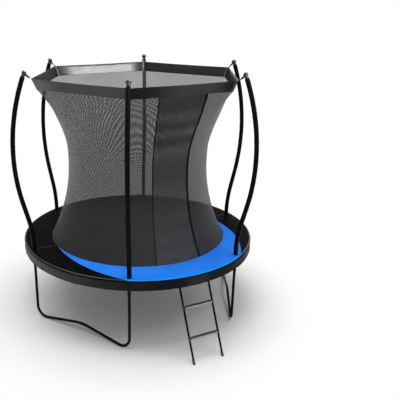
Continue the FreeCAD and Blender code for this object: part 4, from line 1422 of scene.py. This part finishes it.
finishes = {
    "leg_uprights": "blackPaint", "leg_base": "blackPaint", "ring_socket": "blackPaint",
    "ring_tube": "zincSteel", "pole_lower": "zincSteel", "pole_upper": "zincSteel", "vee_rings": "zincSteel",
    "pole_caps": "capPlastic", "pole_bolts": "blackZinc", "frame_screws": "blackZinc",
    "zip_slider": "zipLacquer",
    "ladder_rail": "blackPaint", "ladder_hooks": "blackPaint", "ladder_step_clips": "clipPlastic",
    "ladder_feet": "footRubber", "ladder_bolts": "zincSteel",
}
for name, node in nodes.items():
    look = next((look for start, look in finishes.items() if name.startswith(start)), None)
    if look:
        node.data.materials.clear()
        node.data.materials.append(looks[look])
print("finishes are set")


# studio: floor, lights and white surroundings

studio = {
    "ambient": 0.54, "floor": 60.0, "floorColour": tone(0.91, 0.91, 0.91), "white": tone(1.0, 1.0, 1.0),
    # on the floor, white starts at this distance from its centre and is full at the other
    "whiteEdge": (1.3, 2.15), "whiteCentre": (-0.115, -0.125),
}


def seenRays(wire):
    # 1 for the rays that come from the camera, straight, by gloss or through something clear
    rays = wire.node("LightPath").socket.node.outputs
    seen = [Wire(wire.tree, rays[name]) for name in ("Is Camera Ray", "Is Glossy Ray", "Is Transmission Ray")]
    return seen[0].most(seen[1]).most(seen[2])


floorLook, wire = startMaterial("floor")
x, y = (part - middle for part, middle in zip(wire.parts(), studio["whiteCentre"]))
away = ((x * x + y * y) ** 0.5).step(*studio["whiteEdge"])
matte = wire.node("BsdfDiffuse", None, {"Color": studio["floorColour"]})
white = wire.node("Emission", None, {"Color": studio["white"], "Strength": 1.0})
surface = wire.node("MixShader", None, {0: away * seenRays(wire), 1: matte, 2: white})
wire.node("OutputMaterial", None, {"Surface": surface})
reach = studio["floor"]
floorCorners = [(-reach, -reach, 0), (reach, -reach, 0), (reach, reach, 0), (-reach, reach, 0)]
floorPiece = newPiece("floor", floorCorners, [(0, 1, 2, 3)], floorLook)

world = bpy.data.worlds.new("studio")
scene.world = world
world.use_nodes = True
world.node_tree.nodes.clear()
wire = Wire(world.node_tree)
dim = wire.node("Background", None, {"Color": studio["white"], "Strength": studio["ambient"]})
bright = wire.node("Background", None, {"Color": studio["white"], "Strength": 1.0})
surface = wire.node("MixShader", None, {0: seenRays(wire), 1: dim, 2: bright})
wire.node("OutputWorld", None, {"Surface": surface})

# each lamp: place, aim, width and height in metres, brightness of its face, and whether only gloss shows it
lamps = {
    "key": ((5.25, -1.2, 6.7), (-0.4, 0.3, 1.6), (2.4, 2.4), 3.0, False),
    "streak": ((5.15, -1.18, 6.6), (-0.4, 0.3, 1.6), (2.8, 2.2), 85.0, True),
    "overhead": ((-0.2, -0.2, 6.5), (0.0, 0.0, 0.8), (5.0, 5.0), 3.0, False),
    "left": ((-3.6, -1.8, 6.2), (0.0, 0.0, 0.9), (2.4, 2.4), 4.3, False),
    "rear": ((1.2, 6.2, 3.6), (0.6, 0.0, 0.8), (2.6, 2.6), 1.5, False),
}
for name, (place, aim, (width, height), brightness, glossOnly) in lamps.items():
    light = bpy.data.lights.new(name, "AREA")
    light.shape = "RECTANGLE"
    light.size, light.size_y = width, height
    light.energy = brightness * math.pi * width * height
    lamp = bpy.data.objects.new(name, light)
    lamp.location = place
    lamp.rotation_euler = (Vector(aim) - Vector(place)).to_track_quat("-Z", "Y").to_euler()
    lamp.visible_camera = False
    lamp.visible_diffuse = not glossOnly
    scene.collection.objects.link(lamp)
print("studio is set")
